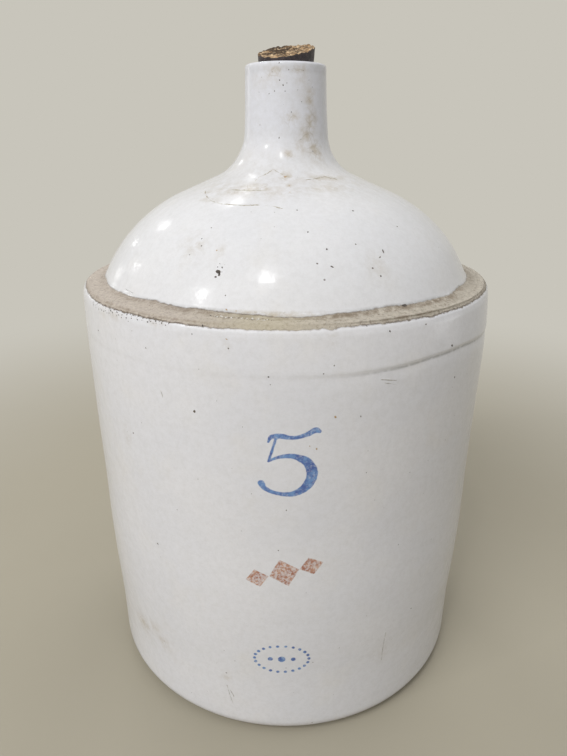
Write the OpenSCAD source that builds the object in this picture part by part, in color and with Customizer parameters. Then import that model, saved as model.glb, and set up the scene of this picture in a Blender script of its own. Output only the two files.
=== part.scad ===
// Five-gallon stoneware shoulder jug: a crock closed by a luted dome and neck,
// with a strap handle behind the neck and a broken cork in its mouth.
// The foot stands on z = 0, the jug's axis is the Z axis, and the handle is on the +Y side.

/* [Crock] */
// Outer radius of the rim band at the top of the crock
crock_r = 150; // [145:0.5:156]
// Outer radius of the wall just above the heel
foot_r = 145; // [138:0.5:149]
// Height of the ledge's outer edge above the table
crock_h = 311; // [280:1:340]
// Thickness of the crock's wall
crock_wall = 12; // [10:0.5:13]
// Thickness of the floor
floor_t = 14; // [10:0.5:18]
// Rounding of the heel where wall meets foot
heel_r = 12; // [6:0.5:16]
// Rounding of the inside corner between floor and wall
floor_fillet_r = 22; // [10:1:30]
// Radius of the shallow hollow under the foot
hollow_r = 96; // [80:1:115]
// Depth of the hollow under the foot
hollow_d = 2; // [1:0.5:4]

/* [Rim and ledge] */
// Height of the slightly proud band below the ledge
band_h = 27; // [15:1:40]
// How far the band stands proud of the wall
band_proud = 1.4; // [0.5:0.1:2.5]
// Height of the slope from the band back to the wall
band_slope_h = 7; // [3:0.5:12]
// Width of the bare ledge between the rim's edge and the dome
ledge_w = 16.5; // [15:0.5:20]
// Rise of the ledge from its outer edge to the dome
ledge_rise = 3.5; // [2:0.5:6]
// Rounding of the ledge's outer edge
ledge_round = 2; // [1:0.5:4]
// Width of the crock's rim outside the dome's flange
rim_w = 10; // [8:0.5:11]
// Depth of the seat below the ledge's outer edge
seat_d = 13; // [10:0.5:16]
// Width of the seat that carries the flange
seat_w = 12; // [8:0.5:13]
// Height of the corbel that thickens the wall below the seat
corbel_h = 26; // [18:1:40]

/* [Dome] */
// Radius of the dome's rounded shoulder in section
dome_arc_r = 113; // [100:1:120]
// Angle on that arc at which the dome leaves the ledge
dome_base_angle = 25.5; // [22:0.5:30]
// Slope of the straight crown above the shoulder, in degrees
crown_slope = 23; // [20:0.5:27]
// Thickness of the dome
dome_wall = 10.4; // [8:0.2:11]
// Radius of the seam between dome and neck
seam_r = 62; // [57:1:68]
// Width of the shelf that the neck's skirt sits on
shelf_w = 5; // [4:0.5:7]

/* [Neck] */
// Height of the mouth above the ledge's outer edge
head_h = 141; // [130:1:160]
// Outer radius of the neck at the lip
lip_r = 27.8; // [27:0.1:29.5]
// Outer radius of the neck where the hollow curve to the crown begins
neck_r = 29.7; // [28.5:0.1:31]
// Radius of the bore
bore_r = 18.8; // [16:0.1:19.5]
// Radius of the hollow curve between neck and crown
neck_fillet_r = 29.5; // [26:0.5:31]
// Rounding of the lip's outer and inner edges
lip_round = 3; // [1.5:0.25:3.5]

/* [Handle] */
// Width of the strap
strap_w = 31; // [24:1:36]
// Thickness of the strap
strap_t = 13; // [10:0.5:15]
// Extra width of the strap where it is luted on
root_w = 11; // [4:1:14]
// Extra thickness of the strap where it is luted on
root_t = 7; // [2:0.5:9]
// Length over which the roots swell
root_len = 20; // [12:1:24]
// Depth of the groove down the strap's outer face
groove_d = 1.6; // [0.5:0.1:3]
// Distance from the mouth down to the strap's centre line at the neck
handle_drop = 26.5; // [25:0.5:29]
// Upward tilt of the strap as it leaves the neck, in degrees
handle_tilt = 8; // [0:1:14]
// Straight run of the strap before its bend, measured from the neck
handle_reach = 20; // [14:1:26]
// Radius of the strap's bend
handle_bend_r = 32; // [28:1:36]
// Angle that the bend turns through
handle_turn = 101; // [94:1:106]

/* [Cork] */
// Length of cork inside the neck
cork_len = 33; // [24:1:38]
// Height of the broken cork above the mouth, at its middle
cork_stand = 8; // [6:0.25:10]
// Taper of the cork: how much its radius shrinks over its length in the neck
cork_taper = 2.2; // [1.5:0.1:3]
// Rise of the broken face across the cork, from left to right
break_rise_x = 4.8; // [0:0.1:6]
// Rise of the broken face across the cork, from front to back
break_rise_y = 10.2; // [0:0.1:12]
// Height of the lumps on the broken face
break_lump = 0.7; // [0.2:0.1:1]

/* [Joints] */
// Thickness of the slip that beds the dome on its seat
shoulder_slip_t = 1.2; // [0.8:0.1:2]
// Thickness of the slip that beds the neck on its shelf
neck_slip_t = 0.8; // [0.5:0.1:1.2]
// Slack between luted pieces, side by side
lute_gap = 0.2; // [0.15:0.05:0.3]
// Slack between the cork and the mouth
cork_gap = 0.3; // [0.2:0.05:0.5]

/* [Hidden] */

// Steps in one arc of a section, and those round and along the strap and the cork
arc_steps = 16;
strap_sides = 24;
strap_steps = 8;
cork_sides = 40;
cork_rings = 5;
$fn = 180;

// Points of an arc about [x, z], from one angle to another
function arc(x, z, r, a0, a1, n = arc_steps) =
    [for (i = [0:n]) let (a = a0 + (a1 - a0) * i / n) [x + r * cos(a), z + r * sin(a)]];

// Crock: wall, seat and ledge
wall_top_r = crock_r - band_proud;
band_z = crock_h - band_h;
seat_z = crock_h - seat_d;
flange_seat_r = crock_r - rim_w;
seat_in_r = flange_seat_r - seat_w;
dome_base_r = crock_r - ledge_w;
ledge_edge_r = crock_r - ledge_round;
inner_top_r = wall_top_r - crock_wall;
inner_foot_r = foot_r - crock_wall;
function ledge_z(r) = crock_h + ledge_rise * (ledge_edge_r - r) / (ledge_edge_r - dome_base_r);
function inner_r(z) = inner_foot_r + (inner_top_r - inner_foot_r) * (z - floor_t) / (band_z - floor_t);

// Dome: the shoulder's arc, then the straight crown
dome_x = dome_base_r - dome_arc_r * cos(dome_base_angle);
dome_z = ledge_z(dome_base_r) - dome_arc_r * sin(dome_base_angle);
crown_angle = 90 - crown_slope;
crown_r = dome_x + dome_arc_r * cos(crown_angle);
crown_z = dome_z + dome_arc_r * sin(crown_angle);
inner_arc_r = dome_arc_r - dome_wall;
flange_z = seat_z + shoulder_slip_t;
flange_r = flange_seat_r - lute_gap;
inner_base_angle = asin((flange_z - dome_z) / inner_arc_r);
crown_in_r = dome_x + inner_arc_r * cos(crown_angle);
shelf_r = seam_r - shelf_w;
skirt_r = seam_r - lute_gap;
skirt_in_r = shelf_r - lute_gap;
// Height of the straight crown at a radius, and of the arc that carries it
function crown_line(r) = crown_z + (crown_r - r) * tan(crown_slope);
function arc_z(r, arc_r) = dome_z + sqrt(pow(arc_r, 2) - pow(r - dome_x, 2));
// Height of the dome's outside and inside at a radius
function dome_top(r) = r > crown_r ? arc_z(r, dome_arc_r) : crown_line(r);
function dome_under(r) = r > crown_in_r
    ? arc_z(r, inner_arc_r)
    : crown_line(r) - dome_wall / cos(crown_slope);
// Angle at which an arc of the dome meets the crown, or the seam or shelf where that comes first
function arc_end(arc_r, r) = min(crown_angle, acos((r - dome_x) / arc_r));
shelf_z = (dome_top(seam_r) + dome_under(seam_r)) / 2;

// Neck: the mouth's height, the hollow curve down to the crown, and the lip
jug_h = crock_h + head_h;
fillet_x = neck_r + neck_fillet_r;
fillet_z = crown_line(neck_r) + neck_fillet_r * tan(crown_angle / 2);
fillet_end_angle = 180 + crown_angle;
skirt_z = shelf_z + neck_slip_t;
lip_z = jug_h - lip_round;

// Handle: its centre line runs in the plane x = 0
root_bury = dome_wall / 2;
strap_z0 = jug_h - handle_drop;
strap_y0 = neck_r - root_bury;
strap_y1 = strap_y0 + (handle_reach + root_bury) * cos(handle_tilt);
strap_z1 = strap_z0 + (handle_reach + root_bury) * sin(handle_tilt);
bend_y = strap_y1 + handle_bend_r * sin(handle_tilt);
bend_z = strap_z1 - handle_bend_r * cos(handle_tilt);
bend_end = 90 + handle_tilt - handle_turn;
strap_y2 = bend_y + handle_bend_r * cos(bend_end);
strap_z2 = bend_z + handle_bend_r * sin(bend_end);
strap_dir = bend_end - 90;
strap_z3 = dome_top(strap_y2) - root_bury;
strap_y3 = strap_y2 + (strap_z2 - strap_z3) / tan(-strap_dir);
// How square the strap's edges are: 1 is an ellipse, 0 a rectangle
strap_corner_share = 0.7;

// Cork: a cone whose top is a broken, lumpy slope
cork_seat_r = bore_r - cork_gap;
cork_foot_z = jug_h - cork_len;
cork_foot_r = cork_seat_r - cork_taper;
// Turns of the waves that make the lumps, over one radius of the cork, and their offset in degrees
lump_turns = [2, 1.4, 2.3];
lump_offset = 40;
function cork_r(z) = cork_seat_r + cork_taper * (z - lip_z) / (lip_z - cork_foot_z);
function wave(distance, i) = 360 * lump_turns[i] * distance / cork_seat_r;
function break_z(x, y) = jug_h + cork_stand
    + (break_rise_x * x + break_rise_y * y) / (2 * cork_seat_r)
    + break_lump * (sin(wave(x, 0)) * cos(wave(y, 1)) + sin(wave(y, 2) + lump_offset) / 2);

module crock_body() {
    color("whitesmoke")
    rotate_extrude()
    polygon(concat(
        [[0, hollow_d], [hollow_r - hollow_d, hollow_d], [hollow_r, 0]],
        arc(foot_r - heel_r, heel_r, heel_r, -90, 0),
        [[wall_top_r, band_z - band_slope_h], [crock_r, band_z]],
        arc(crock_r - ledge_round, crock_h - ledge_round, ledge_round, 0, 90),
        [[flange_seat_r, ledge_z(flange_seat_r)],
         [flange_seat_r, seat_z],
         [seat_in_r, seat_z],
         [inner_r(seat_z - corbel_h), seat_z - corbel_h]],
        arc(inner_r(floor_t + floor_fillet_r) - floor_fillet_r, floor_t + floor_fillet_r,
            floor_fillet_r, 0, -90),
        [[0, floor_t]]
    ));
}

module shoulder_slip() {
    color("tan")
    rotate_extrude()
    translate([seat_in_r, seat_z])
    square([flange_r - seat_in_r, shoulder_slip_t]);
}

module shoulder_dome() {
    color("white")
    rotate_extrude()
    polygon(concat(
        [[flange_r, flange_z], [flange_r, ledge_z(flange_r)]],
        arc(dome_x, dome_z, dome_arc_r, dome_base_angle, arc_end(dome_arc_r, seam_r)),
        [[seam_r, dome_top(seam_r)],
         [seam_r, shelf_z],
         [shelf_r, shelf_z],
         [shelf_r, dome_under(shelf_r)]],
        arc(dome_x, dome_z, inner_arc_r, arc_end(inner_arc_r, shelf_r), inner_base_angle)
    ));
}

module neck_slip() {
    color("tan")
    rotate_extrude()
    translate([shelf_r, shelf_z])
    square([skirt_r - shelf_r, neck_slip_t]);
}

module neck() {
    color("white")
    rotate_extrude()
    polygon(concat(
        [[skirt_r, dome_top(skirt_r)]],
        arc(fillet_x, fillet_z, neck_fillet_r, fillet_end_angle, 180),
        arc(lip_r - lip_round, lip_z, lip_round, 0, 90),
        arc(bore_r + lip_round, lip_z, lip_round, 90, 180),
        arc(fillet_x, fillet_z, fillet_x - bore_r, 180, fillet_end_angle),
        [[skirt_in_r, dome_under(skirt_in_r)],
         [skirt_in_r, skirt_z],
         [skirt_r, skirt_z]]
    ));
}

// Stations along the strap's centre line, each as [y, z, direction in degrees]
function strap_line() = concat(
    [for (i = [0:strap_steps - 1]) let (s = i / strap_steps)
        [strap_y0 + (strap_y1 - strap_y0) * s, strap_z0 + (strap_z1 - strap_z0) * s, handle_tilt]],
    [for (i = [0:2 * strap_steps - 1]) let (a = 90 + handle_tilt - handle_turn * i / (2 * strap_steps))
        [bend_y + handle_bend_r * cos(a), bend_z + handle_bend_r * sin(a), a - 90]],
    [for (i = [0:strap_steps]) let (s = i / strap_steps)
        [strap_y2 + (strap_y3 - strap_y2) * s, strap_z2 + (strap_z3 - strap_z2) * s, strap_dir]]);

// Share of the root's swelling at a distance from where the strap is luted on
function swell_share(d) = d > root_len ? 0 : pow(1 - d / root_len, 2);

// One section of the strap, as [across, outwards]: rounded edges and a grooved outer face
function strap_section(w, t) = [for (i = [0:strap_sides - 1]) let (
        c = cos(360 * i / strap_sides),
        s = sin(360 * i / strap_sides),
        across = w / 2 * sign(c) * pow(abs(c), strap_corner_share),
        out = t / 2 * sign(s) * pow(abs(s), strap_corner_share),
        groove = s > 0 ? groove_d * pow(cos(180 * across / w), 2) : 0)
    [across, out - groove]];

module handle_strap() {
    line = strap_line();
    last = len(line) - 1;
    step = [for (i = [0:last]) i == 0 ? 0 : norm([line[i][0] - line[i - 1][0], line[i][1] - line[i - 1][1]])];
    along = [for (i = 0, d = 0; i <= last; i = i + 1, d = d + (i <= last ? step[i] : 0)) d];
    points = [for (i = [0:last]) let (
            from_end = max(0, min(along[i], along[last] - along[i]) - root_bury),
            swell = swell_share(from_end),
            a = line[i][2])
        for (p = strap_section(strap_w + root_w * swell, strap_t + root_t * swell))
            [p[0], line[i][0] - p[1] * sin(a), line[i][1] + p[1] * cos(a)]];
    sides = [for (i = [0:last - 1]) for (j = [0:strap_sides - 1]) let (
            k = (j + 1) % strap_sides,
            a = i * strap_sides,
            b = a + strap_sides)
        each [[a + j, a + k, b + k], [a + j, b + k, b + j]]];
    ends = [[for (j = [strap_sides - 1:-1:0]) j],
            [for (j = [0:strap_sides - 1]) last * strap_sides + j]];
    polyhedron(points, concat(sides, ends), convexity = 4);
}

// The outside of neck and dome, grown by the slack, to which the strap's roots are cut
module jug_top_outside() {
    rotate_extrude()
    polygon(concat(
        [[0, dome_z]],
        arc(dome_x, dome_z, dome_arc_r + lute_gap, 0, crown_angle),
        arc(fillet_x, fillet_z, neck_fillet_r - lute_gap, fillet_end_angle, 180),
        [[lip_r + lute_gap, jug_h], [0, jug_h]]
    ));
}

module handle() {
    color("white")
    difference() {
        handle_strap();
        jug_top_outside();
    }
}

module cork() {
    spin = 360 / cork_sides;
    foot = [for (j = [0:cork_sides - 1]) let (a = j * spin)
        [cork_foot_r * cos(a), cork_foot_r * sin(a), cork_foot_z]];
    edge = [for (j = [0:cork_sides - 1]) let (
            c = cos(j * spin),
            s = sin(j * spin),
            z = break_z(cork_seat_r * c, cork_seat_r * s))
        [cork_r(z) * c, cork_r(z) * s, z]];
    inner = [for (i = [cork_rings - 1:-1:1]) for (j = [0:cork_sides - 1]) let (
            r = cork_seat_r * i / cork_rings,
            x = r * cos(j * spin),
            y = r * sin(j * spin))
        [x, y, break_z(x, y)]];
    middle = [[0, 0, break_z(0, 0)]];
    rows = cork_rings + 1;
    bands = [for (i = [0:rows - 2]) for (j = [0:cork_sides - 1]) let (
            k = (j + 1) % cork_sides,
            a = i * cork_sides,
            b = a + cork_sides)
        each [[a + j, b + k, a + k], [a + j, b + j, b + k]]];
    cap = [for (j = [0:cork_sides - 1]) let (a = (rows - 1) * cork_sides)
        [a + j, rows * cork_sides, a + (j + 1) % cork_sides]];
    base = [[for (j = [0:cork_sides - 1]) j]];
    color("saddlebrown")
    polyhedron(concat(foot, edge, inner, middle), concat(bands, cap, base), convexity = 4);
}

crock_body();
shoulder_slip();
shoulder_dome();
neck_slip();
neck();
handle();
cork();
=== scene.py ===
"""A stoneware shoulder jug with a strap handle and a broken cork, on a plain pale floor.

The jug stands on z = 0 and its axis is Z. Sizes in the classes are in millimetres, and meshes are in metres.
Azimuth is measured in degrees round the jug: 0 faces the camera (-Y) and 90 is the right-hand side (+X).
"""
import logging
import math
import sys
from dataclasses import dataclass, field
from enum import Enum

import bmesh
import bpy
import numpy as np
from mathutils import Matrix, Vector, noise
from mathutils.bvhtree import BVHTree

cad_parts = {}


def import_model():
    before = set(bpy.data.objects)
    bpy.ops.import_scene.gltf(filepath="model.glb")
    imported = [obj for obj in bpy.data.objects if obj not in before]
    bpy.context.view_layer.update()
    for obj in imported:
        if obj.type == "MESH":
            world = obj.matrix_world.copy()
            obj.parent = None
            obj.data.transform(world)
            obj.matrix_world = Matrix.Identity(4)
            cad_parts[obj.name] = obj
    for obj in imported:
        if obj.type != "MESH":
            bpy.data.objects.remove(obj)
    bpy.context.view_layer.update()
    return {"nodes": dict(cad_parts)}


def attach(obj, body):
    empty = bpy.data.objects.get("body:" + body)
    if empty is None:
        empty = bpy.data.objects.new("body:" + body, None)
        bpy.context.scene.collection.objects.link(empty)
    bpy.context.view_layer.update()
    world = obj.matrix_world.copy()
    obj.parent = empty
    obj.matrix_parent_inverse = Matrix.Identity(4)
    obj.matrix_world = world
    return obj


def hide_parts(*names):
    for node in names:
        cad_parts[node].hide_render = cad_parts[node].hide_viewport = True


LOG = logging.getLogger("jug")
MM = 0.001
# Stored distances, in millimetres, of a point far from bare clay and of one far from any paint
GLAZED = -4.0
UNPAINTED = -5.0
BAREST = 8.0

Colour = tuple[float, float, float]
Points = list[tuple[float, float]] | tuple[tuple[float, float], ...]
Section = tuple[Points, list[int]]
Socket = bpy.types.NodeSocket


# Shared geometry

def arc(x: float, z: float, r: float, a0: float, a1: float, steps: int) -> Points:
    """Points of an arc in a section.

    Args:
        x: Centre's distance from the axis.
        z: Centre's height.
        r: Radius.
        a0: First angle in degrees.
        a1: Last angle in degrees.
        steps: Number of chords.

    Returns:
        steps + 1 points.
    """
    angles = [math.radians(a0 + (a1 - a0) * i / steps) for i in range(steps + 1)]
    return [(x + r * math.cos(a), z + r * math.sin(a)) for a in angles]


def run(start: tuple[float, float], end: tuple[float, float], step: float) -> Points:
    """Evenly spaced points on a straight stretch of a section, without its end.

    Args:
        start: First point.
        end: Point where the next stretch begins.
        step: Longest gap between points.

    Returns:
        The stretch's points.
    """
    count = max(1, math.ceil(math.dist(start, end) / step))
    return [(start[0] + (end[0] - start[0]) * i / count, start[1] + (end[1] - start[1]) * i / count)
            for i in range(count)]


def smooth(value: np.ndarray, low: float, high: float) -> np.ndarray:
    """Smooth step from 0 at low to 1 at high."""
    t = np.clip((value - low) / (high - low), 0.0, 1.0)
    return t * t * (3.0 - 2.0 * t)


def bell(value: np.ndarray) -> np.ndarray:
    """Bell curve that is 1 at 0 and has a spread of 1."""
    return np.exp(-0.5 * value ** 2)


def angle_gap(azimuth: np.ndarray, centre: float) -> np.ndarray:
    """Signed distance in degrees from a centre, the short way round."""
    return (azimuth - centre + 180.0) % 360.0 - 180.0


def polar(points: np.ndarray) -> tuple[np.ndarray, np.ndarray, np.ndarray]:
    """Radius, azimuth in degrees and height of each point."""
    x, y, z = points.T
    return np.hypot(x, y), np.degrees(np.arctan2(x, -y)), z


def eased(table: Points, place: np.ndarray) -> np.ndarray:
    """Value at each place from a table whose corners are eased.

    Args:
        table: Pairs of place and value, with rising places.
        place: Where it is read.

    Returns:
        The values.
    """
    keys = np.array(table)
    grid = np.arange(keys[0, 0] - 30.0, keys[-1, 0] + 30.0)
    kernel = bell(np.arange(-15.0, 16.0) / 5.0)
    line = np.convolve(np.interp(grid, keys[:, 0], keys[:, 1]), kernel / kernel.sum(), mode="same")
    return np.interp(place, grid, line)


def round_the_jug(table: Points, azimuth: np.ndarray) -> np.ndarray:
    """Value at each azimuth from a table that is closed round the back.

    Args:
        table: Pairs of azimuth and value, with rising azimuths.
        azimuth: Azimuths in degrees.

    Returns:
        Interpolated values.
    """
    keys = np.array(table)
    xs = np.concatenate([[keys[-1, 0] - 360.0], keys[:, 0], [keys[0, 0] + 360.0]])
    ys = np.concatenate([[keys[-1, 1]], keys[:, 1], [keys[0, 1]]])
    return np.interp(angle_gap(azimuth, 0.0), xs, ys)


def coordinates(mesh: bpy.types.Mesh) -> np.ndarray:
    """The mesh's vertices in millimetres.

    Args:
        mesh: Mesh to read.

    Returns:
        Rows of x, y and z.
    """
    flat = np.empty(len(mesh.vertices) * 3)
    mesh.vertices.foreach_get("co", flat)
    return flat.reshape(-1, 3) / MM


def set_coordinates(mesh: bpy.types.Mesh, points: np.ndarray) -> None:
    """Moves the mesh's vertices to points given in millimetres."""
    mesh.vertices.foreach_set("co", (points * MM).ravel())
    mesh.update()


def store(mesh: bpy.types.Mesh, **values: np.ndarray | float) -> None:
    """Stores numbers on the vertices, under the names that the materials and trees read.

    Args:
        mesh: Mesh to write on.
        values: One number for all vertices, or one for each, by name.
    """
    for name, value in values.items():
        layer = mesh.attributes.get(name) or mesh.attributes.new(name, "FLOAT", "POINT")
        layer.data.foreach_set("value", np.broadcast_to(value, len(mesh.vertices)).astype(float))


def is_outside(mesh: bpy.types.Mesh) -> np.ndarray:
    """Which vertices of a thrown mesh lie on its outside.

    Args:
        mesh: Mesh with the stored number inside.

    Returns:
        A truth value for each vertex.
    """
    values = np.empty(len(mesh.vertices))
    mesh.attributes["inside"].data.foreach_get("value", values)
    return values < 0.5


def tidy_shell(mesh: bpy.types.Mesh, sharp_angle: float = 40.0) -> None:
    """Turns a closed shell's faces outwards, smooths it and keeps its hard edges.

    Args:
        mesh: Mesh to finish.
        sharp_angle: Angle in degrees above which an edge stays hard.
    """
    work = bmesh.new()
    work.from_mesh(mesh)
    bmesh.ops.dissolve_degenerate(work, dist=1e-6, edges=work.edges)
    bmesh.ops.recalc_face_normals(work, faces=work.faces)
    work.to_mesh(mesh)
    work.free()
    mesh.shade_smooth()
    mesh.set_sharp_from_angle(angle=math.radians(sharp_angle))


class Body(Enum):
    """The bodies that pieces ride on."""
    JUG = "jug"
    CORK = "cork"


class Slot(Enum):
    """Names of material slots."""
    BODY = "glazed_body"
    TOP = "glazed_top"
    CORK = "old_cork"


class Way(Enum):
    """How a mark is laid on the jug: level towards the axis, or straight down."""
    LEVEL = "level"
    DOWN = "down"


# Node trees

class Tree:
    """A node tree that is being built, with short calls for its common nodes."""

    def __init__(self, tree: bpy.types.NodeTree) -> None:
        """Keeps the tree."""
        self.tree = tree

    def add(self, kind: str, inputs: dict[str | int, object] | None = None,
            **settings: object) -> bpy.types.Node:
        """A new node.

        Args:
            kind: The node's type.
            inputs: What goes into its sockets, by name or number.
            settings: Its properties.

        Returns:
            The node.
        """
        node = self.tree.nodes.new(kind)
        for name, value in settings.items():
            setattr(node, name, value)
        self.fill(node, inputs or {})
        return node

    def fill(self, node: bpy.types.Node, inputs: dict[str | int, object]) -> None:
        """Links outputs to a node's sockets, or sets the sockets' own values.

        Args:
            node: The node.
            inputs: Outputs or values by the socket's name or number.
        """
        for key, value in inputs.items():
            socket = node.inputs[key]
            if isinstance(value, Socket):
                self.tree.links.new(value, socket)
            elif isinstance(value, tuple) and socket.type == "RGBA":
                socket.default_value = (*value, 1.0)[:4]
            else:
                socket.default_value = value

    def math(self, operation: str, a: object, b: object = 0.0, c: object = 0.0) -> Socket:
        """Result of one sum on numbers.

        Args:
            operation: The sum.
            a: First number.
            b: Second number, where the sum has one.
            c: Third number, where the sum has one.

        Returns:
            The result.
        """
        node = self.add("ShaderNodeMath", operation=operation)
        self.fill(node, dict(zip(range(len(node.inputs)), (a, b, c))))
        return node.outputs[0]

    def times(self, a: object, b: object) -> Socket:
        """Product of two numbers."""
        return self.math("MULTIPLY", a, b)

    def vector(self, operation: str, a: object, b: object = (0.0, 0.0, 0.0)) -> Socket:
        """Result of one sum on vectors."""
        node = self.add("ShaderNodeVectorMath", {0: a, 1: b}, operation=operation)
        return node.outputs[1 if operation == "LENGTH" else 0]

    def scaled(self, vector: Socket, factor: object) -> Socket:
        """A vector times a number."""
        return self.add("ShaderNodeVectorMath", {0: vector, "Scale": factor}, operation="SCALE").outputs[0]

    def combine(self, x: object = 0.0, y: object = 0.0, z: object = 0.0) -> Socket:
        """A vector made of three numbers."""
        return self.add("ShaderNodeCombineXYZ", {"X": x, "Y": y, "Z": z}).outputs[0]

    def split(self, vector: Socket) -> list[Socket]:
        """The three numbers of a vector."""
        return list(self.add("ShaderNodeSeparateXYZ", {0: vector}).outputs)

    def step(self, value: object, low: object, high: object, to_low: float = 0.0,
             to_high: float = 1.0) -> Socket:
        """Smooth step of a value between two limits.

        Args:
            value: What is mapped.
            low: Where the step starts.
            high: Where the step ends.
            to_low: Result below low.
            to_high: Result above high.

        Returns:
            The mapped value.
        """
        limits = {"Value": value, "From Min": low, "From Max": high, "To Min": to_low, "To Max": to_high}
        return self.add("ShaderNodeMapRange", limits, interpolation_type="SMOOTHSTEP").outputs["Result"]

    def blend(self, share: object, a: object, b: object) -> Socket:
        """Mix of two colours with a share of the second."""
        node = self.add("ShaderNodeMix", {"Factor": share, 6: a, 7: b}, data_type="RGBA", clamp_factor=True)
        return node.outputs[2]

    def tint(self, colour: Socket, mask: object, strength: float, tone: Colour) -> Socket:
        """A colour with a tone over it, as far as a mask times a strength says."""
        return self.blend(self.times(mask, strength), colour, tone)

    def mixed(self, share: object, a: object, b: object) -> Socket:
        """Mix of two numbers with a share of the second."""
        return self.add("ShaderNodeMix", {"Factor": share, 2: a, 3: b}, data_type="FLOAT").outputs[0]

    def grain(self, place: object, scale: float, detail: float = 2.0, rough: float = 0.5) -> Socket:
        """Noise from 0 to 1.

        Args:
            place: Vector that it is read at.
            scale: Waves in a metre.
            detail: Octaves.
            rough: Share of each finer octave.

        Returns:
            The noise value.
        """
        inputs = {"Vector": place, "Scale": scale, "Detail": detail, "Roughness": rough}
        return self.add("ShaderNodeTexNoise", inputs).outputs["Fac"]

    def specks(self, place: object, cell: float, least: float, most: float, share: float) -> Socket:
        """Mask of round specks scattered in space.

        Args:
            place: Vector in metres.
            cell: Spacing of the specks in millimetres.
            least: Radius of the smallest speck in millimetres.
            most: Radius of the largest speck in millimetres.
            share: Share of the cells that hold one.

        Returns:
            1 inside a speck and 0 outside.
        """
        cells = self.add("ShaderNodeTexVoronoi", {"Vector": place, "Scale": 1.0 / (cell * MM)}, feature="F1")
        draw = self.add("ShaderNodeSeparateColor", {0: cells.outputs["Color"]}).outputs[0]
        radius = self.step(draw, 1.0 - share, 1.0, least / cell, most / cell)
        held = self.math("GREATER_THAN", draw, 1.0 - share)
        dot = self.step(cells.outputs["Distance"], self.times(radius, 0.6), radius, 1.0, 0.0)
        return self.times(dot, held)

    def bump(self, shader: bpy.types.Node, height: Socket, strength: float, distance: float) -> None:
        """Bumps a shader's normal, with the distance in millimetres."""
        node = self.add("ShaderNodeBump", {"Height": height, "Strength": strength, "Distance": distance * MM})
        self.fill(shader, {"Normal": node.outputs[0]})

    def stored(self, name: str) -> Socket:
        """A number stored on the mesh."""
        return self.add("ShaderNodeAttribute", attribute_name=name).outputs["Fac"]

    def object_place(self) -> Socket:
        """The shaded point in the object's own metres."""
        return self.add("ShaderNodeTexCoord").outputs["Object"]

    def seen(self) -> Socket:
        """1 for rays that show a surface to the camera, and 0 for rays that light one.

        Returns:
            The mask.
        """
        rays = self.add("ShaderNodeLightPath").outputs
        shown = self.math("MAXIMUM", rays["Is Camera Ray"], rays["Is Glossy Ray"])
        return self.math("MAXIMUM", shown, rays["Is Transmission Ray"])

    def mix_out(self, output: str, share: Socket, a: bpy.types.Node, b: bpy.types.Node) -> None:
        """Sends a mix of two shaders to an output node."""
        mix = self.add("ShaderNodeMixShader", {0: share, 1: a.outputs[0], 2: b.outputs[0]})
        self.add(output, {"Surface": mix.outputs[0]})


def new_material(name: str) -> tuple[bpy.types.Material, Tree, bpy.types.Node]:
    """An empty material with a Principled shader.

    Args:
        name: The material's name.

    Returns:
        The material, its tree and the shader node.
    """
    material = bpy.data.materials.new(name)
    material.use_nodes = True
    material.node_tree.nodes.clear()
    tree = Tree(material.node_tree)
    shader = tree.add("ShaderNodeBsdfPrincipled")
    tree.add("ShaderNodeOutputMaterial", {"Surface": shader.outputs[0]})
    return material, tree, shader


# Finishes

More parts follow.
